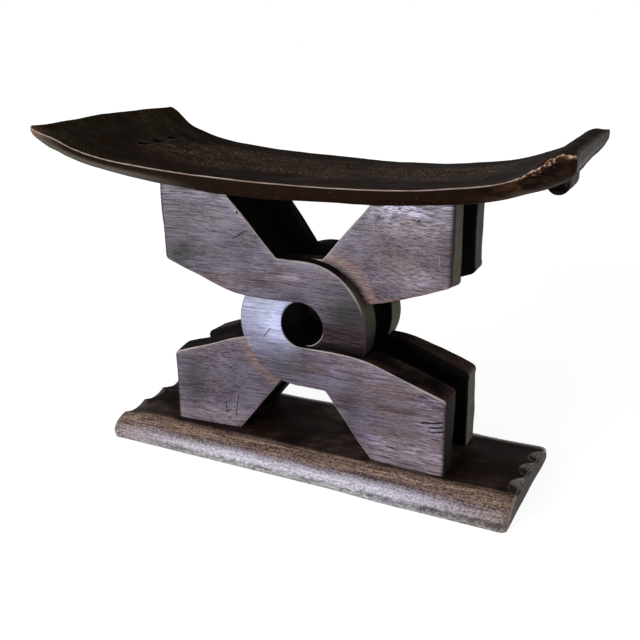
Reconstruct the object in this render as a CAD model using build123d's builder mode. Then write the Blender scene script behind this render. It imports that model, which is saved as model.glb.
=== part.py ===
from build123d import *
import os
from math import radians, tan

# A low wooden stool: a saddle-shaped seat board on two parallel panels, front and back, that stand
# on a plank base. Each panel is a pair of C-shaped links hooked into each other round a central eye.
# +X is the seat's length, +Y runs from the front to the back, +Z is up, and the origin is at the
# middle of the base's underside. All sizes are in millimetres.

# ---- seat ----
seat_length = 450.0
seat_depth = 205.0
seat_thickness = 13.0
seat_mid_height = 266.0        # top of the seat at its middle, above the floor
seat_bow = 16.0                # slow rise of the top towards each end
seat_sweep = 23.5              # extra rise gained near the ends, where the board turns up
seat_sweep_power = 6           # how late that extra rise comes
seat_lean = 3.5                # the left end stands this much higher, the right end this much lower
seat_pitch = 1.7               # the same from the front edge, which is the higher one, to the back
seat_taper = 2.5               # the right end is this much thicker, the left end this much thinner
seat_bevel_drop = 3.5          # the underside thins by this much at the long edges
seat_bevel_width = 46.0        # and does so over this width
seat_corner_radius = 8.0

# ---- base ----
base_length = 398.0
base_thickness = 22.0
base_ledge = 1.5               # flat top left in front of the panels
base_round_run = 23.5          # the long edges fall away over this width
base_round_rise = 18.5         # and by this height, above a low upright foot
base_corner_radius = 5.0

# ---- scoops along the top edge of each end of the base ----
scoop_count = 3
scoop_pitch = 31.5
scoop_width = 30.0
scoop_reach = 8.0              # how far a scoop reaches in over the top
scoop_drop = 4.0               # how far it comes down the end

# ---- the two panels ----
panel_thickness = 26.0
panel_gap = 36.0               # clear space between the front and the back panel
panel_stance = 271.5           # width over the outer faces of the legs

# ---- knot: the eye and the curls round it ----
knot_shift = 2.5               # the knot sits this far to the right of the middle of its panel
eye_radius = 20.0
curl_radius = 58.0
curl_shift = 1.5               # each curl swings this far past the eye
notch_half_width = 22.0        # from the eye's middle to the inner corner of a leg

# ---- legs ----
shoulder_height = 47.5         # outer corner of a leg, above or below the eye's middle
shoulder_slope = 19.0          # slope of a leg's outer shoulder, in degrees
shoulder_blend = 150.0         # radius where the shoulder levels out into the arm
leg_corner_radius = 5.0
upper_left_splay = 45.0        # slope of the inner edge of the front left link's upper leg
leg_splay = 52.0               # slope of the inner edge of the other legs

# ---- where one link dives behind the other ----
recess_depth = 12.0            # how far the face of a leg sinks before it passes behind a curl
recess_start = 20.0            # the sinking starts this far in from the leg's outer face
dive_run = 10.0                # a curl's face starts to sink this far before the arm over it

# ---- joints ----
lap_clearance = 0.15           # between the two halved links of a panel
seat_clearance = 0.2           # between the curved underside of the seat and what stands under it
tenon_width = 40.0
tenon_thickness = 10.0
tenon_inset = 4.0              # from the inner face of a panel to its tenons
seat_tenon_length = 6.0
base_tenon_length = 12.0
tenon_clearance = 0.15         # on every side of a tenon
mortise_floor_clearance = 0.5  # beyond the end of a tenon

# ---- grip lugs under the ends of the seat ----
lug_length = 43.0
lug_width = 17.5
lug_drop = 15.0                # lowest point below the underside of the seat
lug_inset = 19.5               # from the seat's end to the middle of the lug
lug_tenon_length = 6.0
lug_tenon_margin = 4.5         # shoulder round the lug's tenon

# ---- worked out from the above ----
seat_half_length = seat_length / 2
seat_half_depth = seat_depth / 2
base_top_depth = panel_gap + 2 * panel_thickness + 2 * base_ledge
base_depth = base_top_depth + 2 * base_round_run
seat_mid_underside = seat_mid_height - seat_thickness
knot_height = (base_thickness + seat_mid_underside) / 2
leg_outer_x = panel_stance / 2
tenon_y = panel_gap / 2 + tenon_inset + tenon_thickness / 2
lap_level = panel_thickness / 2
through = seat_length          # longer than anything that a cut has to pass through
station_count = 9              # points along half of the seat's curve


def seat_top(x, y):
    """Height of the top of the seat: a parabola plus a late upsweep near the ends, leaning a little."""
    share = x / seat_half_length
    bend = seat_bow * share ** 2 + seat_sweep * abs(share) ** seat_sweep_power
    return seat_mid_height + bend - seat_lean * share - seat_pitch * y / seat_half_depth


def seat_underside(x, y):
    return seat_top(x, y) - seat_thickness - seat_taper * x / seat_half_length


def seat_curve(height, y, lift=0.0):
    """Points of a curve along the whole seat at one depth, at the given height plus a lift."""
    stations = [
        seat_half_length * step / station_count for step in range(-station_count, station_count + 1)
    ]
    return [(x, height(x, y) + lift) for x in stations]


# The seat's section is drawn at its front edge and carried straight to its back edge.
seat_front = Plane.XZ.offset(seat_half_depth)
across_seat = Vector(0, seat_depth, -2 * seat_pitch)


def above_underside():
    """Everything above the seat's underside, lowered by the clearance that legs and lugs keep."""
    with BuildPart() as envelope:
        with BuildSketch(seat_front):
            with BuildLine():
                lower = Spline(*seat_curve(seat_underside, -seat_half_depth, -seat_clearance))
                upper_left = (lower @ 0) + Vector(0, seat_depth)
                upper_right = (lower @ 1) + Vector(0, seat_depth)
                Polyline(lower @ 1, upper_right, upper_left, lower @ 0)
            make_face()
        extrude(amount=across_seat.length, dir=across_seat)
    return envelope.part


def leg_inner_x(splay, length):
    """Distance from the eye's middle to a leg's inner edge, at the leg's end."""
    return notch_half_width + (length - curl_radius) / tan(radians(splay))


def link_outline(reach, over_splay, over_length, under_length):
    """Outline of one C-shaped link, with the eye's middle at (0, 0) and its legs at -x.

    The leg at +y belongs to the arm that passes over the other link, and the leg at -y to the arm
    that passes under it. The outline runs down the outer edge of the upper leg, along its shoulder,
    round the eye, out along the lower shoulder, and back round the outside of the curl.
    """
    level_x = reach - (shoulder_height - eye_radius) / tan(radians(shoulder_slope))
    bends = [leg_corner_radius, shoulder_blend]
    over_x = leg_inner_x(over_splay, over_length)
    under_x = leg_inner_x(leg_splay, under_length)
    with BuildSketch() as outline:
        with BuildLine():
            FilletPolyline(
                (-reach, over_length),
                (-reach, shoulder_height),
                (-level_x, eye_radius),
                (0, eye_radius),
                radius=bends,
            )
            ThreePointArc((0, eye_radius), (eye_radius, 0), (0, -eye_radius))
            FilletPolyline(
                (0, -eye_radius),
                (-level_x, -eye_radius),
                (-reach, -shoulder_height),
                (-reach, -under_length),
                radius=bends[::-1],
            )
            Polyline(
                (-reach, -under_length),
                (-under_x, -under_length),
                (-notch_half_width, -curl_radius),
                (curl_shift, -curl_radius),
            )
            ThreePointArc(
                (curl_shift, -curl_radius),
                (curl_shift + curl_radius, 0),
                (curl_shift, curl_radius),
            )
            Polyline(
                (curl_shift, curl_radius),
                (-notch_half_width, curl_radius),
                (-over_x, over_length),
                (-reach, over_length),
            )
        make_face()
    return outline.sketch


# Leg lengths, from the eye's middle. Legs that meet the seat are made too long and trimmed to its
# curved underside; legs that meet the base stop at its flat top.
to_base = knot_height - base_thickness
to_seat = seat_underside(-leg_outer_x, -seat_half_depth) - knot_height + seat_thickness / 2

# The upright link reaches over at the seat and under at the base. The inverted link is the other way
# round, and its outline is drawn upside down. The knot's shift makes the reach of the two differ.
upright_outline = link_outline(leg_outer_x + knot_shift, upper_left_splay, to_seat, to_base)
inverted_outline = link_outline(leg_outer_x - knot_shift, leg_splay, to_base, to_seat)


def middle_of_leg(reach, splay, length):
    """Middle of a leg's end, measured from the eye's middle."""
    return (reach + leg_inner_x(splay, length)) / 2


# Middles of the tenons along X, from the middle of the stool, for the upright and the inverted link.
seat_level = seat_mid_underside - knot_height
upright_seat_x = middle_of_leg(leg_outer_x + knot_shift, upper_left_splay, seat_level) - knot_shift
upright_base_x = middle_of_leg(leg_outer_x + knot_shift, leg_splay, to_base) - knot_shift
inverted_seat_x = middle_of_leg(leg_outer_x - knot_shift, leg_splay, seat_level) + knot_shift
inverted_base_x = middle_of_leg(leg_outer_x - knot_shift, leg_splay, to_base) + knot_shift

# The back panel is the front one turned half round about the middle of the stool, so the upright link
# has its legs at the left in front and at the right behind.
link_names = ["front_left_link", "front_right_link", "back_right_link", "back_left_link"]


def link_place(link_name):
    """Signs of a link's panel along Y and of its legs along X, and whether it is an upright one."""
    panel, legs, _ = link_name.split("_")
    side = -1 if panel == "front" else 1
    leg_side = -1 if legs == "left" else 1
    return side, leg_side, side == leg_side


def seat_tenon_place(link_name):
    side, leg_side, upright = link_place(link_name)
    return leg_side * (upright_seat_x if upright else inverted_seat_x), side * tenon_y


def base_tenon_place(link_name):
    side, leg_side, upright = link_place(link_name)
    return leg_side * (upright_base_x if upright else inverted_base_x), side * tenon_y


def seat_tenon_top(x, y):
    return seat_underside(x, y) + seat_tenon_length


def make_link(frame, outline, mate_outline, seat_tenon, base_tenon):
    """One link. frame has its origin at the eye's middle on the panel's inner face, its x axis
    towards the curl, its y axis towards the end where the link passes over, and z outwards."""
    lap_reach = curl_radius + curl_shift
    with BuildPart() as link:
        with BuildSketch(frame):
            add(outline)
        extrude(amount=panel_thickness)

        # halving where this link passes over: its inner half goes
        with BuildSketch(frame):
            add(mate_outline, rotation=180)
            offset(amount=lap_clearance)
            with Locations((0, lap_reach / 2)):
                Rectangle(2 * lap_reach + panel_thickness, lap_reach, mode=Mode.INTERSECT)
        extrude(amount=lap_level + lap_clearance / 2, mode=Mode.SUBTRACT)

        # halving where it passes under: its outer half goes
        with BuildSketch(frame.offset(panel_thickness)):
            add(mate_outline, rotation=180)
            offset(amount=lap_clearance)
            with Locations((0, -lap_reach / 2)):
                Rectangle(2 * lap_reach + panel_thickness, lap_reach, mode=Mode.INTERSECT)
        extrude(amount=-(lap_level + lap_clearance / 2), mode=Mode.SUBTRACT)

        # the leg that passes under sinks towards the knot
        across = Plane(origin=frame.origin, x_dir=frame.x_dir, z_dir=-frame.y_dir)
        with BuildSketch(across):
            with BuildLine():
                Polyline(
                    (recess_start - leg_outer_x, panel_thickness),
                    (-lap_reach, panel_thickness - recess_depth),
                    (0, panel_thickness - recess_depth),
                    (0, 2 * panel_thickness),
                    (recess_start - leg_outer_x, 2 * panel_thickness),
                    close=True,
                )
            make_face()
        extrude(amount=through, mode=Mode.SUBTRACT)

        # the curl's face sinks before it reaches the arm that passes over it
        along = Plane(origin=frame.origin, x_dir=frame.y_dir, z_dir=frame.x_dir)
        with BuildSketch(along):
            with BuildLine():
                Polyline(
                    (dive_run - eye_radius, panel_thickness),
                    (-eye_radius - lap_clearance, panel_thickness - recess_depth),
                    (-eye_radius - lap_clearance, 2 * panel_thickness),
                    (dive_run - eye_radius, 2 * panel_thickness),
                    close=True,
                )
            make_face()
        extrude(amount=through, mode=Mode.SUBTRACT)

        # shoulder against the seat, then the two tenons
        add(above_underside(), mode=Mode.SUBTRACT)
        root = panel_thickness
        with Locations((*seat_tenon, seat_tenon_top(*seat_tenon))):
            Box(
                tenon_width,
                tenon_thickness,
                seat_tenon_length + root,
                align=(Align.CENTER, Align.CENTER, Align.MAX),
            )
        with Locations((*base_tenon, base_thickness - base_tenon_length)):
            Box(
                tenon_width,
                tenon_thickness,
                base_tenon_length + root,
                align=(Align.CENTER, Align.CENTER, Align.MIN),
            )
    return link


# Middles of the grip lugs along the seat, left and right.
lug_places = [lug_inset - seat_half_length, seat_half_length - lug_inset]


def lug_tenon_top(x):
    return seat_underside(x, 0) + lug_tenon_length


os.makedirs("parts", exist_ok=True)

# ---- seat ----
with BuildPart() as seat:
    with BuildSketch(seat_front):
        with BuildLine():
            top_curve = Spline(*seat_curve(seat_top, -seat_half_depth))
            under_curve = Spline(*seat_curve(seat_underside, -seat_half_depth))
            Line(top_curve @ 0, under_curve @ 0)
            Line(top_curve @ 1, under_curve @ 1)
        make_face()
    extrude(amount=across_seat.length, dir=across_seat)
    fillet(seat.edges().filter_by(Axis.Z), radius=seat_corner_radius)
    # the underside thins towards the front and the back edge
    for side in (-1, 1):
        edge_y = side * seat_half_depth
        inner_y = side * (seat_half_depth - seat_bevel_width)
        with BuildSketch(Plane.XZ.offset(-edge_y)):
            with BuildLine():
                edge_top = Spline(*seat_curve(seat_underside, edge_y, seat_bevel_drop))
                edge_low = Spline(*seat_curve(seat_underside, edge_y, -seat_bevel_drop))
                Line(edge_top @ 0, edge_low @ 0)
                Line(edge_top @ 1, edge_low @ 1)
            make_face()
        with BuildSketch(Plane.XZ.offset(-inner_y)):
            with BuildLine():
                inner_top = Spline(*seat_curve(seat_underside, inner_y))
                inner_low = Spline(*seat_curve(seat_underside, inner_y, -2 * seat_bevel_drop))
                Line(inner_top @ 0, inner_low @ 0)
                Line(inner_top @ 1, inner_low @ 1)
            make_face()
        loft(mode=Mode.SUBTRACT)
    # mortises for the legs
    for x, y in map(seat_tenon_place, link_names):
        with Locations((x, y, seat_tenon_top(x, y) + mortise_floor_clearance)):
            Box(
                tenon_width + 2 * tenon_clearance,
                tenon_thickness + 2 * tenon_clearance,
                seat_thickness,
                align=(Align.CENTER, Align.CENTER, Align.MAX),
                mode=Mode.SUBTRACT,
            )
    # mortises for the grip lugs
    for x in lug_places:
        with Locations((x, 0, lug_tenon_top(x) + mortise_floor_clearance)):
            Box(
                lug_width - 2 * lug_tenon_margin + 2 * tenon_clearance,
                lug_length - 2 * lug_tenon_margin + 2 * tenon_clearance,
                seat_thickness,
                align=(Align.CENTER, Align.CENTER, Align.MAX),
                mode=Mode.SUBTRACT,
            )
seat.part.label = "seat"
export_step(seat.part, "parts/seat.step")

# ---- base ----
# A scoop is a spherical gouge cut. The circles that it leaves on the top and on the end are known
# from its width and from how deep it reaches on each, and the sphere is the one through both.
scoop_top_radius = (scoop_width ** 2 / 4 + scoop_reach ** 2) / (2 * scoop_reach)
scoop_end_radius = (scoop_width ** 2 / 4 + scoop_drop ** 2) / (2 * scoop_drop)
scoop_out = scoop_top_radius - scoop_reach
scoop_up = scoop_end_radius - scoop_drop
scoop_radius = (scoop_top_radius ** 2 + scoop_up ** 2) ** 0.5

with BuildPart() as base:
    with BuildSketch(Plane.YZ):
        with BuildLine():
            flat_half = base_top_depth / 2
            foot_height = base_thickness - base_round_rise
            Polyline(
                (-flat_half - base_round_run, foot_height),
                (-flat_half - base_round_run, 0),
                (flat_half + base_round_run, 0),
                (flat_half + base_round_run, foot_height),
            )
            EllipticalCenterArc((flat_half, foot_height), base_round_run, base_round_rise, arc_size=90)
            Line((flat_half, base_thickness), (-flat_half, base_thickness))
            EllipticalCenterArc(
                (-flat_half, foot_height), base_round_run, base_round_rise, start_angle=90, arc_size=90
            )
        make_face()
    extrude(amount=base_length / 2, both=True)
    fillet(base.edges().filter_by(Axis.Z), radius=base_corner_radius)
    first_scoop = -(scoop_count - 1) / 2 * scoop_pitch
    for end in (-1, 1):
        for index in range(scoop_count):
            scoop_place = (
                end * (base_length / 2 + scoop_out),
                first_scoop + index * scoop_pitch,
                base_thickness + scoop_up,
            )
            with Locations(scoop_place):
                Sphere(scoop_radius, mode=Mode.SUBTRACT)
    for x, y in map(base_tenon_place, link_names):
        with Locations((x, y, base_thickness)):
            Box(
                tenon_width + 2 * tenon_clearance,
                tenon_thickness + 2 * tenon_clearance,
                base_tenon_length + mortise_floor_clearance,
                align=(Align.CENTER, Align.CENTER, Align.MAX),
                mode=Mode.SUBTRACT,
            )
base.part.label = "base"
export_step(base.part, "parts/base.step")

# ---- the four links ----
for link_name in link_names:
    side, leg_side, upright = link_place(link_name)
    eye = (-side * knot_shift, side * panel_gap / 2, knot_height)
    frame = Plane(origin=eye, x_dir=(-leg_side, 0, 0), z_dir=(0, side, 0))
    own_outline = upright_outline if upright else inverted_outline
    mate = inverted_outline if upright else upright_outline
    seat_tenon = seat_tenon_place(link_name)
    base_tenon = base_tenon_place(link_name)
    link = make_link(frame, own_outline, mate, seat_tenon, base_tenon)
    link.part.label = link_name
    export_step(link.part, f"parts/{link_name}.step")

# ---- grip lugs ----
lug_round = lug_width / 2
for lug_name, x in zip(("left_grip_lug", "right_grip_lug"), lug_places):
    lug_axis_height = seat_underside(x, 0) - lug_drop + lug_round
    with BuildPart() as lug:
        with BuildSketch(Plane.XZ):
            with Locations((x, lug_axis_height)):
                Circle(lug_round)
                Rectangle(lug_width, lug_drop + seat_thickness, align=(Align.CENTER, Align.MIN))
        extrude(amount=lug_length / 2, both=True)
        add(above_underside(), mode=Mode.SUBTRACT)
        with Locations((x, 0, lug_tenon_top(x))):
            Box(
                lug_width - 2 * lug_tenon_margin,
                lug_length - 2 * lug_tenon_margin,
                lug_tenon_length + lug_round,
                align=(Align.CENTER, Align.CENTER, Align.MAX),
            )
    lug.part.label = lug_name
    export_step(lug.part, f"parts/{lug_name}.step")
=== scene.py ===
# %% [markdown]
# # A low carved stool with a saddle seat
# This notebook dresses a wooden stool for its picture. A long board, turned up at both ends, rests on
# two upright panels, and the panels stand on a plank. Each panel is a pair of C-shaped links that
# hook into each other round a hole, the eye. The real thing is cut from one block with adze, knife
# and gouge, then stained dark and handled for years, so no face is quite flat and every arris is
# rubbed pale.
#
# The exact solids come first. They say where each piece is, and they stay as they are: here each
# gets a skin that follows the same shape and adds what the tools and the years have done to it.

# %% Load the frame and keep its box
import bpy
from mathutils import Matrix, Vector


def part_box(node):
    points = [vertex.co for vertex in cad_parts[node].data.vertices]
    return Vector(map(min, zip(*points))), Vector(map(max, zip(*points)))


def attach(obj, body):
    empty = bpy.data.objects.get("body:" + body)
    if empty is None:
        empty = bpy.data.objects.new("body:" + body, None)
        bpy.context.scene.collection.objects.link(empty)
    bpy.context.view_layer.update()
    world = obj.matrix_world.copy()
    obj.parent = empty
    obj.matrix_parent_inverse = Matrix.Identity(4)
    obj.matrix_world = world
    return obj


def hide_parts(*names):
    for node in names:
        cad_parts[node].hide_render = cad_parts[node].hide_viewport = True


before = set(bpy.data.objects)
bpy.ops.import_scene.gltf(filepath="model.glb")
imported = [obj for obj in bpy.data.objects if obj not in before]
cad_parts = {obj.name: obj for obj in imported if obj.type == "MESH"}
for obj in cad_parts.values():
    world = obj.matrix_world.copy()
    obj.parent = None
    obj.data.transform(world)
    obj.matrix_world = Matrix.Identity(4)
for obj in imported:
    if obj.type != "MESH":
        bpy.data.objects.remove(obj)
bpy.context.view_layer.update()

from types import SimpleNamespace

import bmesh
import bpy
import numpy as np
from mathutils import Matrix

print("solids:", ", ".join(sorted(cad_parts)))

# %% [markdown]
# ## Sizes
# Most sizes can be read from the solids' boxes. The rest describe shapes inside the boxes, such as
# the radius of a curl. All are in metres, with +X along the seat, +Y to the back and +Z up.

# %% Read the sizes of the main pieces
MM = 0.001

seat_low, seat_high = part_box("seat")
base_low, base_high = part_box("base")
link_low, link_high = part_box("front_left_link")

half_length = seat_high.x
half_depth = seat_high.y
base_half_length = base_high.x
base_half_depth = base_high.y
base_top = base_high.z
gap_face = -link_high.y          # distance of a panel's hidden face from the middle of the stool
panel_thickness = link_high.y - link_low.y
leg_x = -link_low.x              # outer face of the legs

seat_mid_height = 266 * MM
seat_thickness = 13 * MM
seat_bow = 16 * MM               # slow rise towards each end
seat_sweep = 23.5 * MM           # late rise at the ends
seat_sweep_power = 6
seat_lean = 3.5 * MM             # left end up, right end down
seat_pitch = 1.7 * MM            # front edge up, back edge down
seat_taper = 2.5 * MM            # right end thicker, left end thinner
knot_height = (base_top + seat_mid_height - seat_thickness) / 2
print(f"panels {panel_thickness / MM:.1f} mm thick, knot {knot_height / MM:.1f} mm above the floor")

# %% [markdown]
# ## Marks of the hand
# A carved face looks flat from afar, but light shows that it rolls by a few tenths of a millimetre.
# A noise texture in the material could fake this, yet the outline would stay ruled. So the points
# themselves are moved along their normals. The push is a function of the place in space alone, so it
# runs on from one piece into its neighbour, as it would in one block.
#
# Larger marks come and go along the stool. Two curves say where: a ramp, with the places at which it
# is 0 and 1, and a bell, with its middle and its width. Both take those places in millimetres.

# %% Define the unevenness and the two curves
WAVE_COUNT = 14
WAVE_SPREAD = (0.6, 1.7)         # shortest and longest wave, as shares of the wavelength


def waver(places, wavelength, height, seed):
    """A sum of sine waves that run through space in random directions.

    places is an array of points (..., 3). Each wave has its own direction, a length near wavelength
    and a phase, and the sum is scaled so that its usual size is height."""
    rng = np.random.default_rng(seed)
    ways = rng.normal(size=(WAVE_COUNT, 3))
    ways /= np.linalg.norm(ways, axis=1, keepdims=True)
    pace = 2 * np.pi / (wavelength * rng.uniform(*WAVE_SPREAD, WAVE_COUNT))
    phase = rng.uniform(0, 2 * np.pi, WAVE_COUNT)
    angles = (places @ ways.T) * pace + phase
    return height * np.sin(angles).sum(-1) * np.sqrt(2 / WAVE_COUNT)


def between(value, low, high):
    """0 at low and 1 at high. On the way it is three squares less two cubes of the share, which starts
    and ends level. Where high is the smaller number, the curve falls."""
    share = np.clip((value - low) / (high - low), 0, 1)
    return share * share * (3 - 2 * share)


def ramp(value, span):
    """0 at the first place of the span and 1 at the second, in millimetres."""
    return between(value / MM, *span)


def bell(value, hump):
    """1 at the hump's middle, falling as exp(-d^2) with the distance in widths, in millimetres."""
    middle, width = hump
    return np.exp(-((value / MM - middle) / width) ** 2)


face_line = np.stack([np.linspace(0, 50 * MM, 50), np.zeros(50), np.zeros(50)], -1)
face_roll = np.ptp(waver(face_line, 40 * MM, 0.2 * MM, 1))
print(f"a face 50 mm wide rolls by about {face_roll / MM:.2f} mm")

# %% [markdown]
# ## From an array of points to a piece
# Every piece here is a skin worked out as an array of points: rows run along the piece, and columns
# run round its section, so the last column joins the first. Where a piece ends, the rows close down
# to a line in the middle of the end face. Points that coincide there are merged, and where the two
# sides have different columns their edges lie on each other, so no gap is left. Alongside the points
# go marks, numbers such as how close a point is to an arris, which the wood's finish reads later.

# %% Define the skin maker
MERGE_DISTANCE = 0.002 * MM


def make_skin(name, grid, marks, node):
    """Turns points (rows, columns, 3) and marks {label: (rows, columns)} into a closed mesh object
    that replaces a solid. Each face joins a point, the next in its row, and the two above them."""
    rows, columns = grid.shape[:2]
    here = np.arange(rows * columns).reshape(rows, columns)
    beside = np.roll(here, -1, axis=1)
    faces = np.stack([here[:-1], beside[:-1], beside[1:], here[1:]], -1).reshape(-1, 4)
    mesh = bpy.data.meshes.new(name)
    mesh.from_pydata(grid.reshape(-1, 3), [], faces)
    for label, values in marks.items():
        layer = mesh.attributes.new(label, "FLOAT", "POINT")
        values = np.broadcast_to(values, (rows, columns)).astype(np.float32)
        layer.data.foreach_set("value", values.ravel())
    shell = bmesh.new()
    shell.from_mesh(mesh)
    bmesh.ops.remove_doubles(shell, verts=shell.verts, dist=MERGE_DISTANCE)
    bmesh.ops.recalc_face_normals(shell, faces=shell.faces)
    laid_together = sum(not edge.is_manifold for edge in shell.edges)
    shell.to_mesh(mesh)
    shell.free()
    mesh.shade_smooth()
    piece = bpy.data.objects.new(name, mesh)
    bpy.context.scene.collection.objects.link(piece)
    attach(piece, "root")
    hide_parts(node)
    print(f"{name}: {len(mesh.polygons)} faces, {laid_together} edges that lie on each other at its ends")
    return piece


def read_vectors(items, field):
    """One field of all items of a mesh, as an array (count, 3)."""
    values = np.empty(len(items) * 3, dtype=np.float32)
    items.foreach_get(field, values)
    return values.reshape(-1, 3)


def roughen(piece, *waves):
    """Moves each point along its normal by the waver at its place, once for each wave: a wavelength
    and a height in millimetres, and a seed."""
    mesh = piece.data
    for wavelength, height, seed in waves:
        places = read_vectors(mesh.vertices, "co").astype(float)
        push = waver(places, wavelength * MM, height * MM, seed)
        places += read_vectors(mesh.vertex_normals, "vector") * push[:, None]
        mesh.vertices.foreach_set("co", places.astype(np.float32).ravel())
        mesh.update()


# %% [markdown]
# ## The seat's surfaces
# Seen from the side, the middle sheet of the seat is a parabola with a late upsweep at each end. It
# also leans a little, because a carver works by eye, and its front edge wanders up and down by a few
# millimetres. The top and the underside lie above and below it. At the right end the top rises to a
# rim, and at the left the near corner is drawn out to a worn tip.
#
# Each line below describes one such form: its height, and the ramps or bells that bring it in along
# the seat and across it.

# %% Describe the forms of the seat
sway, sway_span = 1.8 * MM, 190 * MM                  # left half a little low, right half a little high
front_rise, front_rise_run = 1.6 * MM, (185, 95)      # the front edge lies high in its left half
front_crest, front_crest_hump = 1.3 * MM, (48, 62)
front_fall, front_fall_run = 3.6 * MM, (140, 200)     # and low near its right end,
front_return_run = (196, 208)                         # where only the underside stays low
left_lift, left_lift_run = 3.1 * MM, (-165, -225)     # the left end is turned up a little more,
left_twist = 2.0 * MM                                 # most at the back,
left_dip, left_dip_run, left_dip_across = 1.3 * MM, (-190, -225), (50, 15)      # while its near half hangs
back_dip, back_dip_hump, back_dip_across = 3.3 * MM, (-203, 13), (40, 100)      # before the far corner
right_back_lift, right_back_run = 1.2 * MM, (145, 180)
rim_height, rim_hump, rim_twist = 3.8 * MM, (208, 11), 0.55                     # higher at the back
end_droop, end_droop_run, end_droop_twist = 1.8 * MM, (213, 225), 0.7           # levels off behind the rim
corner_droop, corner_run, corner_across = 4.9 * MM, (-193, -225), (5, -95)      # the near left is worn down
bevel_drop, bevel_run, bevel_start = 3.0 * MM, (-70, 70), 56.5                  # long edges of the underside
right_deepening, deepening_run, deepening_across = 2.7 * MM, (190, 225), (30, -90)
front_belly, belly_hump, belly_across = 1.4 * MM, (15, 75), (-41, -82)          # deepest in the middle
left_slimming, left_slimming_run = 0.9 * MM, (-90, -120)
near_edge = (-55, -95)
tip_slimming, tip_slimming_run = 3.8 * MM, (-204, -221)                         # the very tip is thin
tip_root, tip_root_hump = 1.3 * MM, (-196, 12)
knock_depth, knock_hump, knock_across = 2.6 * MM, (205, 3), (-86, -100)         # a bite out of the near edge
lip_fall, lip_fall_run = 3.6 * MM, (216, 225)                                   # behind it the lip is level
print(f"the rim rises by {rim_height / MM:.1f} mm, the near left corner is {corner_droop / MM:.1f} mm lower")

# %% Define the top and the underside
def front_share(y):
    """1 at the front edge, 0 at the back edge."""
    return 0.5 - 0.5 * y / half_depth


def seat_sheet(x, y):
    """Height of the sheet that carries top and underside: level + bow * s^2 + sweep * |s|^6, leaning
    along X and Y, a sine ripple, and the wander of the edges and of the two ends."""
    share = x / half_length
    across = y / half_depth
    height = seat_mid_height + seat_bow * share ** 2 + seat_sweep * np.abs(share) ** seat_sweep_power
    height = height - seat_lean * share - seat_pitch * across
    ripple = sway * np.sin(np.pi * x / sway_span) * (np.abs(x) < sway_span)
    front = front_rise * ramp(x, front_rise_run) + front_crest * bell(x, front_crest_hump)
    front = front - front_fall * ramp(x, front_fall_run)
    left = (left_lift + left_twist * across) * ramp(x, left_lift_run)
    left = left - left_dip * ramp(y, left_dip_across) * ramp(x, left_dip_run)
    back = right_back_lift * ramp(x, right_back_run) * (1 - front_share(y))
    back = back - back_dip * bell(x, back_dip_hump) * ramp(y, back_dip_across)
    return height - ripple + front * front_share(y) + left + back


def worn_corner(x, y):
    """How far the near left corner is worn down: all the way at its tip, easing to nothing."""
    return corner_droop * ramp(x, corner_run) * ramp(y, corner_across)


def seat_top(x, y):
    """The sheet with a bell-shaped rim near the right end, which climbs quickest at the front."""
    front = front_share(y)
    height = seat_sheet(x, y) + rim_height * bell(x, rim_hump) * (1 + rim_twist * y / half_depth)
    height = height + front_fall * ramp(x, front_return_run) * front
    height = height - end_droop * ramp(x, end_droop_run) * (1 + end_droop_twist * (1 - front))
    height = height - knock_depth * bell(x, knock_hump) * ramp(y, knock_across)
    height = height - lip_fall * ramp(x, lip_fall_run) * front ** 2
    return height - worn_corner(x, y)


def seat_underside(x, y):
    """The sheet lowered by the thickness, and raised again by a bevel along the long edges, which
    fades out to the left and turns into a thickening at the right end."""
    bevel = ramp(np.abs(y), (bevel_start, half_depth / MM)) * ramp(x, bevel_run)
    deep = ramp(x, deepening_run) * ramp(y, deepening_across)
    belly = front_belly * bell(x, belly_hump) - left_slimming * ramp(x, left_slimming_run)
    tip = tip_slimming * ramp(x, tip_slimming_run) - tip_root * bell(x, tip_root_hump)
    height = seat_sheet(x, y) - seat_thickness - seat_taper * x / half_length
    height = height + bevel_drop * bevel - belly * ramp(y, belly_across) + tip * ramp(y, near_edge)
    return height - right_deepening * deep - worn_corner(x, y)


print("seat top at the middle", round(float(seat_top(0.0, 0.0)) / MM, 1), "mm, at the ends",
      [round(float(seat_top(x, 0.0)) / MM, 1) for x in (-half_length, half_length)])

# %% [markdown]
# ## Chip carving
# Near the left end a row of three small triangles is cut into the seat. Each is a chip carver's
# three-sided pit: three slopes run down from its edges and meet in a point. The depth inside a
# triangle is therefore the distance to its nearest edge times the steepness of the knife.

# %% Define the pits
pit_count = 3
pit_base_x = -172 * MM
pit_apex_x = -182 * MM
pit_apex_slip = -3 * MM          # the apex points a little to the front
pit_width = 22 * MM
pit_pitch = 25.5 * MM
pit_first_y = -16 * MM
pit_skew = 2.6 * MM              # each pit lies this much further out than the one before it
pit_steepness = 0.62
ridge_hump = (-0.5, 0.65)        # the rubbed line beside a pit's edge, in mm from the edge
short_ridge = 0.6                # its strength at the two short edges


def pit_shape(x, y):
    """Depth of the carved pits, which is steepness times the distance to the nearest of three edges,
    and a number that is 1 on the long edge of each pit and falls to 0 beside it."""
    depth = np.zeros(np.broadcast(x, y).shape)
    ridge = np.zeros(depth.shape)
    for index in range(pit_count):
        middle = pit_first_y + index * pit_pitch
        half = pit_width / 2
        shift = pit_skew * (1 - index)
        corners = np.array([(pit_base_x + shift, middle - half), (pit_base_x + shift, middle + half),
                            (pit_apex_x + shift, middle + pit_apex_slip)])
        distances = []
        for start, end in zip(corners, np.roll(corners, -1, axis=0)):
            run = (end - start) / np.linalg.norm(end - start)
            distances.append((y - start[1]) * run[0] - (x - start[0]) * run[1])
        inner = np.minimum.reduce(distances)
        depth = np.maximum(depth, pit_steepness * inner)
        strength = np.where(distances[0] <= inner, 1.0, short_ridge)
        ridge = np.maximum(ridge, strength * bell(inner, ridge_hump))
    return depth, ridge


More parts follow.
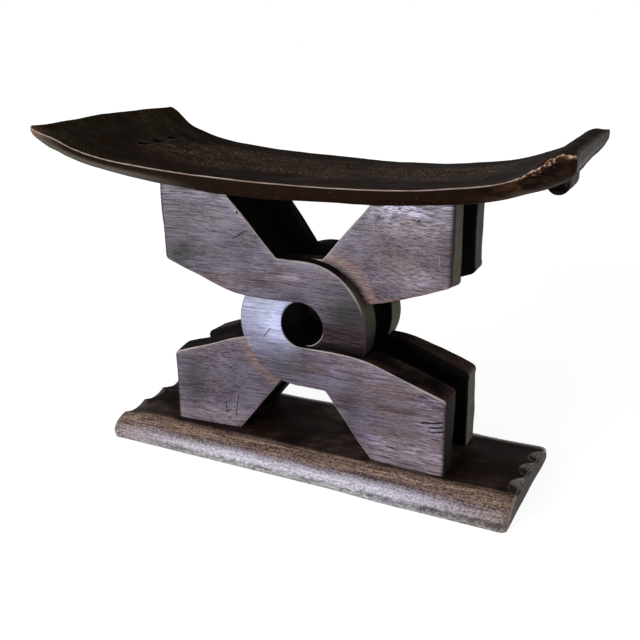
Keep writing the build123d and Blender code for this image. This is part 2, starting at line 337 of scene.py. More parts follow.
pit_middle, _ = pit_shape(np.array(0.6 * pit_base_x + 0.4 * pit_apex_x), np.array(pit_first_y))
print("a pit is about", round(float(pit_middle) / MM, 1), "mm deep")

# %% [markdown]
# ## Sections and rows
# A section is a ring of columns, joined from short parts such as a face, an arris or an edge. A
# board's end is a flat face with a rounded arris. Carried along its length, the board's section
# starts as a line, opens out over the end face, turns the arris in a quarter circle and then stays
# full. The helper gives, for each row, the place along the board, the share of the thickness that the
# end face has reached, and the share of the arris that is turned.

# %% Define rings and end rows
FACE_ROWS = 7
ARRIS_ROWS = 6


def stretch(start, end, step):
    """Evenly spaced places from start up to, but without, end."""
    return np.linspace(start, end, max(int(abs(end - start) / step), 2), endpoint=False)


def inside(start, end, count):
    """Evenly spaced places from start to end, without both of them."""
    return np.linspace(start, end, count)[1:-1]


def quarter(count):
    """Angles of a quarter turn."""
    return np.linspace(0, np.pi / 2, count)


def ring(*parts):
    """Joins the parts of a section. Each part has one entry per quantity, an array over its columns
    or a number that holds for all of them."""
    return [np.concatenate(column) for column in zip(*(np.broadcast_arrays(*part) for part in parts))]


def board_rows(length, arris, between_ends):
    """Rows of a board that reaches from -length to length: place, opened, turned. The high end
    mirrors the low one."""
    angle = quarter(ARRIS_ROWS)
    place = np.concatenate([np.full(FACE_ROWS, -length), -length + arris * (1 - np.cos(angle))])
    opened = np.concatenate([np.linspace(0, 1, FACE_ROWS, endpoint=False), np.ones(ARRIS_ROWS)])
    turned = np.concatenate([np.zeros(FACE_ROWS), np.sin(angle)])
    full = np.ones(len(between_ends))
    return [np.concatenate([end, middle, sign * end[::-1]]) for end, middle, sign in
            ((place, between_ends, -1), (opened, full, 1), (turned, full, 1))]


def end_arris_rub(turned):
    """1 in the middle of an end's arris, where turned is the sine of 45 degrees, and 0 at its sides."""
    return (4 * turned ** 2 * (1 - turned ** 2))[:, None]


def plan_inset(place, length, radius):
    """How far the long edges draw in near the ends, where the corners seen from above are round."""
    past = np.clip((np.abs(place) - (length - radius)) / radius, 0, 1)
    return radius * (1 - np.sqrt(1 - past ** 2))


print("a board's end takes", FACE_ROWS + ARRIS_ROWS, "rows")

# %% [markdown]
# ## The seat's skin
# The section of the seat is a flat lens: top, rounded arris, edge, rounder lower corner, underside.
# Its columns are packed closely at the arrises and over the carving. The board's near right corner
# has lost its edge to knocks, so a lip is left there with pits in it, and the left tip is rubbed thin.

# %% Define the section of the seat
top_arris = 2.2 * MM
low_arris = 4.2 * MM
seat_end_arris = 2.6 * MM
left_corner = 9 * MM
right_corner = 4.5 * MM
fine_step = 0.7 * MM
coarse_step = 2.6 * MM
top_splits = (-1.0, -0.93, -0.27, 0.52, 0.93, 1.0)    # shares of the half depth where the step changes
top_steps = (fine_step, coarse_step, fine_step, coarse_step, fine_step)
rub_sharpness = 16
under_columns, edge_columns, turn_columns = 70, 18, 11


def seat_ring():
    """Columns of the section: sideways share, inset, height share (1 top, 0 underside), offset, how
    near the column is to the middle of the top arris, and how near it is to the low arris."""
    splits = zip(top_splits, top_splits[1:], top_steps)
    top = np.concatenate([stretch(a, b, step / half_depth) for a, b, step in splits])[1:]
    low = inside(1, -1, under_columns)
    wall = inside(0, 1, edge_columns)
    turn = quarter(turn_columns)
    back = turn[::-1]
    rub = np.sin(2 * turn) ** rub_sharpness
    both = top_arris + low_arris
    return ring(
        (top, top_arris, 1, 0, 0, 0),
        (1, top_arris * (1 - np.cos(back)), 1, -top_arris * (1 - np.sin(back)), rub, 0),
        (1, 0, 1 - wall, both * wall - top_arris, 0, 0),
        (1, low_arris * (1 - np.cos(turn)), 0, low_arris * (1 - np.sin(turn)), 0, 0),
        (low, low_arris, 0, 0, 0, 0),
        (-1, low_arris * (1 - np.cos(back)), 0, low_arris * (1 - np.sin(back)), 0, 1),
        (-1, 0, wall, low_arris - both * wall, 0, (1 - wall) ** 2),
        (-1, top_arris * (1 - np.cos(turn)), 1, -top_arris * (1 - np.sin(turn)), rub, 0))


print("the seat's section has", len(seat_ring()[0]), "columns")

# %% [markdown]
# The marks of the seat say where it is rubbed, chipped or weathered, and where light is painted on:
# a sheen near the left end, a reflection along the low edge, and shade in the hollow below the lip. As
# before, spans and humps are in millimetres, along the seat, across it, inwards from the near edge or
# down from the top.

# %% Say where the seat is worn
seat_waves = ((55, 0.22, 11), (14, 0.05, 12))         # wavelength, height and seed of the roll of its faces
carving_run = (-190, -168)       # rows are close together here, for the pits
lip_run, lip_rows = (186, 202), 80
lip_inward = (0, 3.2)
lip_down, lip_notch, lip_notch_hump = 2.6, 2.0, (209, 4)
lip_waves = ((6 * MM, 0.34 * MM, 31), (3 * MM, 0.24 * MM, 32))
lip_push = 0.9
hollow_depth = 1.8 * MM          # below the lip the near edge is hollow
hollow_humps = (210, 8), (8, 6), (0, 6)
tip_draw, tip_draw_run, tip_draw_across = 4.5 * MM, (-200, -225), (-10, -100)   # near left corner, outwards
corner_draw, corner_draw_run, corner_draw_across = 3.0 * MM, (195, 220), (-62, -100)
rim_in_run, rim_out_run = (196, 204), (222, 206)
bare_inward, bare_top, bare_inset = (0, 4), 0.6 * MM, 2 * MM
bare_down, bare_notch, bare_notch_hump = 0.8, 0.3, (218, 5)
tip_rub_run, tip_rub_hump, tip_rub_down = (-205, -223), (-half_depth / MM, 9), (0, 4)
back_rub, lip_rub, end_rub = 0.25, 0.25, 0.12         # how much is left of the front arris's rubbing
# a painted reflection along the low edge, mostly at the left, and a thin line of it near the right end
low_band_run, low_band_power, left_edge_run, left_edge_share = (-50, -130), 1.6, (-185, -215), 0.6
right_line_hump, right_line_run = (1.8, 1.1), (160, 200)
end_low_shares = (0.55, 0.05)
carving_depth, hollow_shade = 0.4 * MM, 0.75
left_end_run = (-150, -200)
right_edge_run, right_edge_share, right_edge_hump = (140, 200), 0.2, (196, 20)
rubbed_across, rubbed_run = (82, 32), (182, 152)
print(f"the lip begins {half_length / MM - lip_run[0]:.0f} mm before the right end")

# %% Build the seat
def build_seat():
    """Carries the section along X: y from the ring's share and inset, z between underside and top."""
    carving_start, carving_end = np.array(carving_run) * MM
    lip_start = lip_run[0] * MM
    rows = np.concatenate([
        stretch(-half_length + seat_end_arris, carving_start, coarse_step),
        stretch(carving_start, carving_end, fine_step),
        stretch(carving_end, lip_start, coarse_step),
        np.linspace(lip_start, half_length - seat_end_arris, lip_rows)])[1:-1]
    place, opened, turned = board_rows(half_length, seat_end_arris, rows)
    share, inset, level, offset, rub, low_rub = seat_ring()
    corner = np.where(place > 0, right_corner, left_corner)
    width = (half_depth - plan_inset(place, half_length, corner))[:, None]
    x = place[:, None] + 0 * share
    y = share * (width - inset)
    top = seat_top(x, y)
    under = seat_underside(x, y)
    half = (top - under) / 2
    half = opened[:, None] * (half - seat_end_arris) + turned[:, None] * seat_end_arris
    z = (top + under) / 2 + (2 * level - 1) * half + offset * np.clip(half / low_arris, 0, 1)

    # the worn lip at the near right corner: small dents along its rim and a hollow below it
    along = ramp(x, lip_run)
    inward = np.clip(y + half_depth, 0, None)
    below = np.clip(top - z, 0, None)
    beside = bell(inward, lip_inward) * along
    beside = beside * bell(below, (0, lip_down + lip_notch * bell(x, lip_notch_hump)))
    places = np.stack([x, y, z], -1)
    dents = sum(waver(places, *wave) for wave in lip_waves)
    hollow = np.prod([bell(way, hump) for way, hump in zip((x, below, inward), hollow_humps)], axis=0)
    z = z + beside * dents * level
    y = y + beside * np.abs(dents) * lip_push + hollow_depth * hollow
    rim = beside * ramp(x, rim_in_run) * ramp(x, rim_out_run)
    bare = (0, bare_down + bare_notch * bell(x, bare_notch_hump))
    lip = along * bell(inward, bare_inward) * bell(np.maximum(below - bare_top, 0), bare) * (y < 0)

    carved, ridge = pit_shape(x, y)
    z = z - carved * level
    x = (x - tip_draw * ramp(x, tip_draw_run) * ramp(y, tip_draw_across)
         + corner_draw * ramp(x, corner_draw_run) * ramp(y, corner_draw_across))

    on_top = level == 1
    front_rub = np.where(y < 0, 1, back_rub) * rub * (1 - (1 - lip_rub) * along)
    left_band = low_rub ** low_band_power * ramp(x, low_band_run)
    left_band = left_band + left_edge_share * ramp(x, left_edge_run)
    right_line = low_rub * (level == 0) * bell(inset, right_line_hump) * ramp(x, right_line_run)
    in_end = (opened < 1)[:, None] * (x > 0)
    # the right end face is paler towards its bottom at the front
    end_low = in_end * between((z - under) / (top - under), *end_low_shares) * front_share(y)
    right_edge = (right_edge_share * ramp(x, right_edge_run)
                  + (1 - right_edge_share) * bell(x, right_edge_hump))
    marks = {
        "arris": np.maximum(front_rub, end_arris_rub(turned) * on_top * end_rub),
        "worn": np.clip(rim, 0, 1),
        "lip": np.clip(lip, 0, 1) * (inset < bare_inset),
        "tip": ramp(x, tip_rub_run) * bell(y, tip_rub_hump) * bell(below, tip_rub_down),
        "edge_band": ~on_top | (inset < top_arris / 2),
        # dark in the carved pits, and painted shade in the hollow below the lip
        "carving": np.clip(np.maximum(carved / carving_depth * level, hollow_shade * hollow), 0, 1),
        "ridge": ridge * level,
        # painted reflection along the low edge
        "low_band": np.clip(np.maximum(left_band * (inset < low_arris), right_line), 0, 1),
        "end_low": np.clip(end_low, 0, 1),
        "end_face": in_end,
        # more painted olive sheen towards the left end
        "left_end": ramp(x, left_end_run) * level,
        "right_edge": right_edge * (y < 0) * (inset < top_arris),
        "rubbed": ramp(np.abs(y), rubbed_across) * ramp(np.abs(x), rubbed_run) * level,
        "top_side": on_top & (inset >= top_arris / 2),
    }
    piece = make_skin("saddle_seat", np.stack([x, y, z], -1), marks, "seat")
    roughen(piece, *seat_waves)
    return piece, list(marks)


seat, seat_labels = build_seat()

# %% [markdown]
# ## The links
# A link is a flat C. Drawn flat, it lies between two lines: an inner one that comes down the outside
# of the upper leg, runs in along its shoulder, round the eye and out again, and an outer one that
# follows the legs' sloping inner edges and the back of the curl. Both are straight runs joined by
# arcs. The skin's rows go from leg to leg, and each row's section is a rectangle between the two
# lines with rounded arrises. Its front face is not flat: one leg sinks behind the neighbour's curl,
# and the curl itself leans away and then dives before it passes under the neighbour's arm.

# %% Define paths of straight runs and arcs
eye_radius = 20 * MM
curl_radius = 58 * MM
knot_shift = 2.5 * MM
notch_radius = 2.5 * MM
shoulder_blend = 150 * MM
leg_corner = 5 * MM
path_step = 0.4 * MM
fewest_steps = 8
look_ahead = 0.5 * MM            # a path's direction is taken between the places this far before and behind


def square_to(way):
    """Directions turned a quarter to the left."""
    return np.stack([-way[..., 1], way[..., 0]], -1)


def rounded_path(corners, radii):
    """A path through corners that turns each inner corner on an arc. Returns its points, closely
    spaced, and for each inner corner the distance along the path at the arc's start and end."""
    corners = np.array(corners, dtype=float)
    pieces = [corners[:1]]
    stops = []
    travelled = 0.0
    last = corners[0]
    for before, corner, after, radius in zip(corners, corners[1:], corners[2:], radii):
        arriving = (corner - before) / np.linalg.norm(corner - before)
        leaving = (after - corner) / np.linalg.norm(after - corner)
        turn = np.arccos(np.clip(arriving @ leaving, -1, 1))
        start = corner - arriving * radius * np.tan(turn / 2)
        normal = np.sign(arriving[0] * leaving[1] - arriving[1] * leaving[0]) * square_to(arriving)
        angles = np.linspace(0, turn, max(int(radius * turn / path_step), fewest_steps))[:, None]
        arc = start + normal * radius * (1 - np.cos(angles)) + arriving * radius * np.sin(angles)
        pieces.append(arc)
        travelled += np.linalg.norm(start - last)
        stops.append((travelled, travelled + radius * turn))
        travelled += radius * turn
        last = arc[-1]
    pieces.append(corners[-1:])
    return np.concatenate(pieces), np.array(stops)


def resample(points, distances):
    """The points of a path at the given distances along it, and its unit directions there."""
    along = np.concatenate([[0], np.cumsum(np.linalg.norm(np.diff(points, axis=0), axis=1))])
    placed, ahead, behind = (
        np.stack([np.interp(distances + shift, along, points[:, axis]) for axis in (0, 1)], -1)
        for shift in (0, look_ahead, -look_ahead))
    way = ahead - behind
    return placed, way / np.linalg.norm(way, axis=1, keepdims=True)


# %% [markdown]
# No two legs are cut quite alike. For each link the table below gives the slope of the inner edge of
# its leg under the seat and of its leg on the base, in degrees, and how far from the eye's middle each
# of those edges ends; how far the curl swings past the eye; how far the sunken leg starts behind the
# other; how far the outer faces stand out; how far each leg's shoulder lies from the eye; and the
# shoulders' slope. Lengths are in millimetres.

# %% Describe how the four links differ
link_shapes = {
    "front_left_link": dict(seat=(47, 22), base=(52, 26), curl=3.2, sink=2.5, swell=1.1,
                            shoulders=(46.5, 46.8), slope=19),
    "front_right_link": dict(seat=(49, 16.5), base=(53, 22.5), curl=3.8, sink=0, swell=0,
                             shoulders=(48.6, 47.5), slope=19),
    "back_left_link": dict(seat=(53, 12.5), base=(52, 22), curl=8, sink=0, swell=0.6,
                           shoulders=(47.5, 47.5), slope=19),
    "back_right_link": dict(seat=(46, 22), base=(52, 22), curl=2, sink=0, swell=1,
                            shoulders=(49, 49), slope=21),
}
stretch_rows = (34, 46, 44, 52, 52, 44, 46, 34)
leg_end_share = 0.7              # the inner line stops this share of a corner's radius before its leg's end
outer_split = 0.55               # share of a leg's inner edge that faces the leg's upright outer edge


def leg_inner_x(leg, length):
    """Distance from the eye's middle to a leg's inner edge at a given length from it."""
    slope, notch = leg
    return notch * MM + (length - curl_radius) / np.tan(np.radians(slope))


# %% [markdown]
# The two lines are matched stretch by stretch, leg to leg, shoulder to inner corner, eye to curl, so
# that a row never crosses the next one.

# %% Draw a link's two boundary lines
def link_lines(reach, over_leg, under_leg, over_length, under_length, curl_shift, shoulders, slope):
    """Inner and outer boundary of a link: matched points and the normals that point into the wood."""
    over_shoulder, under_shoulder = shoulders
    over_level, under_level = (reach - (shoulder - eye_radius) / np.tan(slope) for shoulder in shoulders)
    inner, turns = rounded_path(
        [(-reach, over_length), (-reach, over_shoulder), (-over_level, eye_radius), (eye_radius, eye_radius),
         (eye_radius, -eye_radius), (-under_level, -eye_radius), (-reach, -under_shoulder),
         (-reach, -under_length)],
        [leg_corner, shoulder_blend, eye_radius, eye_radius, shoulder_blend, leg_corner])
    inner_end = turns[5, 1] + under_length - under_shoulder - leg_corner * leg_end_share
    inner_knots = [0, turns[0].mean(), turns[1].mean(), turns[2, 0], turns[2, 1], turns[3, 1],
                   turns[4].mean(), turns[5].mean(), inner_end]
    back = curl_shift + curl_radius
    outer, turns = rounded_path(
        [(-leg_inner_x(over_leg, over_length), over_length), (-over_leg[1] * MM, curl_radius),
         (back, curl_radius), (back, -curl_radius), (-under_leg[1] * MM, -curl_radius),
         (-leg_inner_x(under_leg, under_length), -under_length)],
        [notch_radius, curl_radius, curl_radius, notch_radius])
    far_run = np.linalg.norm(outer[-1] - outer[-2])
    outer_knots = [0, outer_split * turns[0, 0], turns[0].mean(), turns[1, 0], turns[1, 1], turns[2, 1],
                   turns[3].mean(), turns[3, 1] + (1 - outer_split) * far_run, turns[3, 1] + far_run]
    lines = []
    for path, knots, side in ((inner, inner_knots, 1), (outer, outer_knots, -1)):
        runs = [np.linspace(start, end, count, endpoint=False)
                for start, end, count in zip(knots, knots[1:], stretch_rows)]
        placed, way = resample(path, np.concatenate([*runs, knots[-1:]]))
        lines.append((placed, side * square_to(way)))
    return lines


# %% [markdown]
# The section is a ring of columns. Each column holds a share across the link, an inset, and a depth
# that is a share of the local thickness plus an offset, so that the same ring fits the full leg and
# the sunken one.

# %% Define the section of a link
link_turn_columns, link_wall_columns, link_face_columns = 8, 10, 34


def link_ring():
    """Columns of a link's section: share across, inset, depth share and depth offset, in arris radii,
    and how near the column is to the middle of a front arris."""
    turn = quarter(link_turn_columns)
    back = turn[::-1]
    wall = inside(0, 1, link_wall_columns)
    crowded = (1 - np.cos(np.linspace(0, np.pi, link_face_columns))) / 2
    face = ((crowded + np.linspace(0, 1, link_face_columns)) / 2)[1:-1]
    rub = np.sin(2 * turn) ** 2
    return ring(
        (0, 1 - np.cos(back), 0, 1 - np.sin(back), 0),
        (0, 0, wall, 1 - 2 * wall, 0),
        (0, 1 - np.cos(turn), 1, np.sin(turn) - 1, rub),
        (face, 1, 1, 0, 0),
        (1, 1 - np.cos(back), 1, np.sin(back) - 1, rub),
        (1, 0, 1 - wall, 2 * wall - 1, 0),
        (1, 1 - np.cos(turn), 0, 1 - np.sin(turn), 0),
        (wall[::-1], 1, 0, 0, 0))


recess_depth = 11.8 * MM
crown_drop = 0.6 * MM            # faces round off towards their arrises
crown_reach = 9 * MM
lean_depth = 6.0 * MM            # the curl leans back this far before it dives
lean_start = 27 * MM
lean_run = 46 * MM
dive_run = (-20, -29)
level_power = 8                  # how abruptly the sunken leg levels off at the knot
arris_radius = 1.3 * MM
arris_wave = 30 * MM             # the arrises are now sharper and now rounder
arris_change = 0.3
arris_limits = (0.5, 2)
shoulder_flare = 3.0 * MM        # the shoulders spread towards the gap between the panels
flare_run = (-38, -78)


def sunk_depth(x, y, reach, mate_lap, sink):
    """How far the face has sunk. On the under leg it goes with the square of the way to the knot and
    levels off there. On the curl it leans back, with a square, and then dives the rest of the way."""
    way = np.clip((x + reach) / (reach - mate_lap), 0, None)
    levelled = way ** 2 / (1 + way ** level_power) ** (2 / level_power)
    on_leg = (sink + (recess_depth - sink) * levelled) * (y < 0)
    lean = lean_depth * np.clip((lean_start - y) / lean_run, 0, 1) ** 2
    on_curl = lean + (recess_depth - lean) * ramp(y, dive_run)
    return np.where(x < 0, on_leg, on_curl)


print("a link's section has", len(link_ring()[0]), "columns and its skin", sum(stretch_rows) + 3, "rows")

# %% [markdown]
# The ends of the legs run a few millimetres into the seat and the base, where nobody sees them, so
# that the wood seems to grow out of the board.
#
# The marks of a link tell its faces from its walls, which way an edge looks, and how near the
# neighbour's curl is. Some are painted light: broad patches of painted highlight and painted shade
# on the faces, a painted bluish highlight on one curl, painted shade where the other curl dives,
# and painted light on the outer side walls.

# %% Say how the links are cut and worn
link_waves = ((60, 0.35, 21), (16, 0.07, 22))
arris_seed = 40
sink_into_seat = 4 * MM
sink_into_base = 3 * MM
seat_leg_x = 105 * MM            # where a leg's length up to the seat is measured
# painted light: each patch makes a face brighter, as a painted highlight, or darker, as painted shade
painted_light_tones = [                        # x, z, reach in x and in z in mm, and the share by which the tone changes
    (100, 250, 50, 15, 1.30), (108, 190, 30, 14, 0.10), (105, 225, 30, 22, -0.04), (-56, 232, 13, 20, 0.06),
    (-60, 194, 55, 14, -0.20), (52, 160, 26, 24, -0.72), (-15, 96, 28, 13, -0.70), (-95, 78, 45, 30, -0.22),
    (108, 32, 42, 13, 0.32), (-100, 38, 40, 10, 0.15), (-118, 225, 16, 30, -0.18), (-90, 246, 36, 8, 0.20),
    (-95, 215, 45, 28, -0.15), (52, 108, 32, 16, 0.15), (-117, 66, 12, 24, -0.60), (-88, 93, 34, 10, 0.24),
    (-120, 190, 17, 15, -0.85), (-112, 241, 18, 10, 0.20), (-1, 163, 14, 7, -0.62), (42, 150, 18, 13, -0.55),
    (-3, 180, 16, 5, 0.22), (50, 68, 11, 26, -0.55), (123, 77, 11, 20, 0.22), (97, 40, 24, 8, 0.20),
]
faces_up, faces_down, slightly_up = (0.05, 0.75), (0.45, -0.15), (0.2, 0.7)
faces_out, runs_level = (0.45, 0.85), (0.5, 0.9)
least_rub, slope_rub = 0.06, 0.5
shoulder_rub_hump = (0, 2.9)     # the sunken leg's shoulder is rubbed to fresh wood along its edge
dark_line_hump = (0, 1.9)        # beside it the upright arris is painted dark, as shade
outer_share = 0.8
worn_hump = (7, 7)               # the fresh band beside the neighbour's curl
# where one curl dives down its face is partly the wood's red brown and partly painted shade, and near black
# painted shade at the bottom
curl_run, fold_run, tuck_run = (-6, 20), (19, -5), (-12, -17)
foot_run, upper_run = (22, 6), (122, 167)
# painted bluish highlight on the curl that rises under the neighbour's arm, strongest beside the eye
highlight_hump, eye_hump, eye_highlight = (-4, 28), (eye_radius / MM, 20), 0.4
# painted light on the outer side walls: on the front panel it grows with height, on the back panel it fades
front_light, front_light_gain, back_light_loss = 0.07, 0.75, 0.4
over_wears = {"front_left_link": 0.12, "back_left_link": 1.5}
usual_over_wear = 0.6
over_start = 26 * MM             # nearer to the eye's middle than this the walls kept their stain
over_top = knot_height + 60 * MM
arris_shade_loss = 1.2
print(len(painted_light_tones), "broad stretches of another tone on each panel")

# %% Build the four links
def varied_arris(line, seed):
    """The radius of the arris beside each point of a line, here smaller and there larger."""
    change = waver(np.pad(line, ((0, 0), (0, 1))), arris_wave, arris_change, seed)
    return arris_radius * np.clip(1 + change, *arris_limits)[:, None]


def build_link(node):
    """Works out one link in its own plane, eye in the middle, then sets it in its panel."""
    panel, legs, _ = node.split("_")
    side = -1 if panel == "front" else 1
    leg_side = -1 if legs == "left" else 1
    shape = link_shapes[node]
    mate = link_shapes[panel + ("_right_link" if legs == "left" else "_left_link")]
    up = 1 if side == leg_side else -1
    reach = leg_x + up * knot_shift + shape["swell"] * MM
    panel_y = side * (gap_face + panel_thickness / 2)
    to_seat = float(seat_underside(leg_side * seat_leg_x, panel_y)) - knot_height + sink_into_seat
    to_base = knot_height - base_top + sink_into_base
    over_length, under_length = (to_seat, to_base)[::up]
    over_leg, under_leg = (shape["seat"], shape["base"])[::up]
    shoulders = [height * MM for height in shape["shoulders"]][::up]
    (inner, inner_in), (outer, outer_in) = link_lines(
        reach, over_leg, under_leg, over_length, under_length, shape["curl"] * MM, shoulders,
        np.radians(shape["slope"]))
    across, inset, level, offset, rub = link_ring()

    seed = arris_seed + 2 * side + leg_side
    inner_arris, outer_arris = (varied_arris(inner, seed), varied_arris(outer, seed + 1))
    spread = (np.abs(inner_in[:, 1]) * ramp(inner[:, 0], flare_run))[:, None]
    flare = shoulder_flare * spread * (np.ones(len(level)) if side > 0 else 1 - level)
    from_inner = inner[:, None] + inner_in[:, None] * (inset * inner_arris - flare)[..., None]
    from_outer = outer[:, None] + outer_in[:, None] * (inset * outer_arris)[..., None]
    flat = (1 - across)[:, None] * from_inner + across[:, None] * from_outer
    arris = (1 - across) * inner_arris + across * outer_arris
    flat_x, flat_y = np.moveaxis(flat, -1, 0)
    lap = curl_radius + mate["curl"] * MM
    sunk = sunk_depth(flat_x, flat_y, reach, lap, shape["sink"] * MM)
    to_inner, to_outer = (np.linalg.norm(flat - line[:, None], axis=-1) for line in (inner, outer))
    for distance in (to_inner, to_outer):
        sunk = sunk + crown_drop * np.clip(1 - distance / crown_reach, 0, 1) ** 2
    thickness = panel_thickness - sunk

    x = -side * knot_shift - leg_side * flat_x
    y = side * (gap_face + level * thickness + offset * arris)
    z = knot_height + up * flat_y
    grid = np.stack([x, y, z], -1)
    ends = grid[[0, -1]].copy()
    ends[..., 1] = side * (gap_face + thickness[[0, -1]] / 2)
    grid = np.concatenate([ends[:1], grid, ends[1:]])

    # which way each edge faces: out of the wood, away from both lines
    out_flat = np.where((across < 0.5)[None, :, None], -inner_in[:, None], -outer_in[:, None])
    facing_up = up * out_flat[..., 1]
    facing_out = -leg_side * out_flat[..., 0] * np.sign(x)
    on_wall = (inset < 0.5) & (level > 0)
    on_face = level == 1
    beyond = np.linalg.norm(flat + np.array([mate["curl"] * MM, 0.0]), axis=-1) - curl_radius
    beside_mate = (flat_y < 0) * (flat_x < 0) * on_face
    along_shoulder = between(np.abs(inner_in[:, 1]), *runs_level)[:, None]
    shoulder_rub = bell(to_inner, shoulder_rub_hump) * beside_mate * along_shoulder
    outer_side = bell(to_inner, dark_line_hump) * (1 - along_shoulder) * on_face
    outer_side = outer_side * (flat_x < -outer_share * reach)
    slope_edge = slope_rub * (across > 0.5) * (np.abs(flat_y) > curl_radius)
    from_above = least_rub + (1 - least_rub) * between(facing_up, *faces_up)
    from_below = rub * between(facing_up, *faces_down) * (1 - slope_edge)
    curl_share = ramp(flat_x, curl_run) * on_face
    near_eye = 1 - eye_highlight + eye_highlight * bell(flat_x, eye_hump)
    upper = ramp(z, upper_run)
    side_light = (front_light + front_light_gain * upper if panel == "front"
                  else 1 - back_light_loss * upper)
    over_wear = over_wears.get(node, usual_over_wear) * (np.linalg.norm(flat, axis=-1) > over_start)
    marks = {
        "arris": np.sqrt(rub) * np.maximum(from_above, slope_edge),
        # painted shade on arrises that face down, and a painted dark line beside the upright arris
        "shade_arris": np.maximum(from_below, outer_side) * (1 - shoulder_rub),
        "worn": np.maximum(bell(beyond, worn_hump) * beside_mate, shoulder_rub),
        "facing": np.clip(1 - arris_shade_loss * np.abs(offset), 0, 1) * on_face,
        # the outer side walls: partly their olive colour, partly painted light that changes with height
        "side": between(facing_out, *faces_out) * on_wall * side_light,
        "over": between(facing_up, *slightly_up) * on_wall * (z < over_top) * over_wear,
        # red brown and painted shade where the curl dives down, and painted shade at its foot
        "fold": ramp(flat_y, fold_run) * curl_share * (up > 0),
        "tuck": ramp(flat_y, tuck_run) * curl_share * (up > 0),
        # painted highlight on the curl
        "polish": bell(flat_y, highlight_hump) * near_eye * curl_share * (up < 0),
        "foot": ramp(z - base_top, foot_run) * on_face,
        # broad patches of painted highlight and painted shade on the faces
        "tone": 1 + sum(change * bell(-side * x, (at_x, wide)) * bell(z, (at_z, high))
                        for at_x, at_z, wide, high, change in painted_light_tones),
    }
    marks = {label: np.pad(np.broadcast_to(values, x.shape), ((1, 1), (0, 0)), "edge")
             for label, values in marks.items()}
    piece = make_skin(node + "_skin", grid, marks, node)
    roughen(piece, *link_waves)
    return piece


links = [build_link(f"{panel}_{legs}_link") for panel in ("front", "back") for legs in ("left", "right")]

# %% [markdown]
# ## The base
# The plank's long edges are rounded like a loaf, a quarter of an ellipse above a low upright foot.
# Three shallow scoops are gouged out of the top arris at each end. A gouge leaves part of a ball's
# surface, so every point that lies inside the ball is pushed straight out to its surface.

# %% Define the base's section and its scoops
base_round_run = 23.5 * MM
base_round_rise = 18.5 * MM
base_flat = base_half_depth - base_round_run          # half the depth of the level part of the top
base_end_arris = 1.6 * MM
base_low_arris = 1.0 * MM
base_corner = 6 * MM
shoulder_columns, foot_columns, bottom_columns, top_columns = 30, 5, 40, 170
scoop_count = 3
scoop_seed = 5
scoop_pitch = 31.5 * MM
scoop_width = 32 * MM
scoop_reach = 10.5 * MM
scoop_drop = 5.0 * MM
scoop_slip = 1 * MM              # how far the gouge missed its mark, at most
scoop_middle_y = -2 * MM
scoop_edge = 1.6 * MM
far_side_span = (0, 5)


def base_ring():
    """Columns of the base's section, from the front foot over the top to the back and underneath:
    y and z of a loaf with quarter-ellipse shoulders."""
    turn = quarter(shoulder_columns)
    foot = base_top - base_round_rise
    shoulder_y = base_flat + base_round_run * np.cos(turn)
    shoulder_z = foot + base_round_rise * np.sin(turn)
    foot_z = np.linspace(base_low_arris, foot, foot_columns)[:-1]
    bottom = np.linspace(1, -1, bottom_columns) * (base_half_depth - base_low_arris)
    top = inside(-base_flat, base_flat, top_columns)
    return ring(
        (-base_half_depth, foot_z), (-shoulder_y, shoulder_z), (top, base_top),
        (shoulder_y[::-1], shoulder_z[::-1]), (base_half_depth, foot_z[::-1]), (bottom, 0))


def scooped(places):
    """Points inside one of the gouge's balls are moved outwards to the ball's surface. Gives the
    points, how deep inside a scoop each lies, and how far it lies on the scoop's far half, which the finish
    paints paler as lit."""
    top_radius = (scoop_width ** 2 / 4 + scoop_reach ** 2) / (2 * scoop_reach)
    end_radius = (scoop_width ** 2 / 4 + scoop_drop ** 2) / (2 * scoop_drop)
    out = top_radius - scoop_reach
    above = end_radius - scoop_drop
    radius = np.hypot(top_radius, above)
    cut = np.zeros(places.shape[:2])
    far_side = np.zeros(places.shape[:2])
    rng = np.random.default_rng(scoop_seed)
    for end in (-1, 1):
        for index in range(scoop_count):
            middle = np.array([end * (base_half_length + out), (index - 1) * scoop_pitch + scoop_middle_y,
                               base_top + above])
            middle += rng.uniform(-1, 1, 3) * scoop_slip
            away = places - middle
            distance = np.linalg.norm(away, axis=-1)
            within = distance < radius
            cut = np.maximum(cut, np.clip((radius - distance) / scoop_edge, 0, 1))
            far_side = np.maximum(far_side, within * ramp(away[..., 1], far_side_span))
            places = np.where(within[..., None], middle + away * (radius / distance)[..., None], places)
    return places, cut, far_side


print("the base's section has", len(base_ring()[0]), "columns")

# %% [markdown]
# Wear and a hand-held adze left the plank lower at its left end and at the back right, its right end
# out of square, and its foot frayed.

# %% Say how the base is worn
base_waves = ((70, 0.25, 61),)
scoop_zone = base_half_length - 15 * MM
scoop_rows = 20
corner_share = 0.6               # how much of the end arris the corners draw in as well
back_span = (-10, 60)
left_wear, left_wear_run, left_wear_across = 4.6 * MM, (-168, -199), (40, -50)
back_twist, back_twist_run = 4.6 * MM, (0, 190)       # the back edge drops towards the right end
back_drop = 1.0 * MM
foot_rise, foot_fall = (0, 1.2), (10, 0)              # heights between which the foot is frayed
fray_waves = ((11 * MM, 0.5 * MM, 51), (4.5 * MM, 0.3 * MM, 52))
fray_limit = 0.4 * MM
foot_flare, foot_flare_fall = 3.3 * MM, (8, 0)        # the near foot stands out a little,
flare_left, flare_gain, flare_gain_run = 0.5, 0.65, (35, 95)                    # most at the right
end_skew, end_skew_run = 2.4 * MM, (150, 199)
end_bulge, end_bulge_hump = 1.8 * MM, (45, 30)
left_draw, left_draw_run, left_draw_across = 2.6 * MM, (-170, -199), (20, -69)
toe_cut, toe_run, toe_fall, toe_across = 3.5 * MM, (-190, -200), (7, 0), (-40, -65)
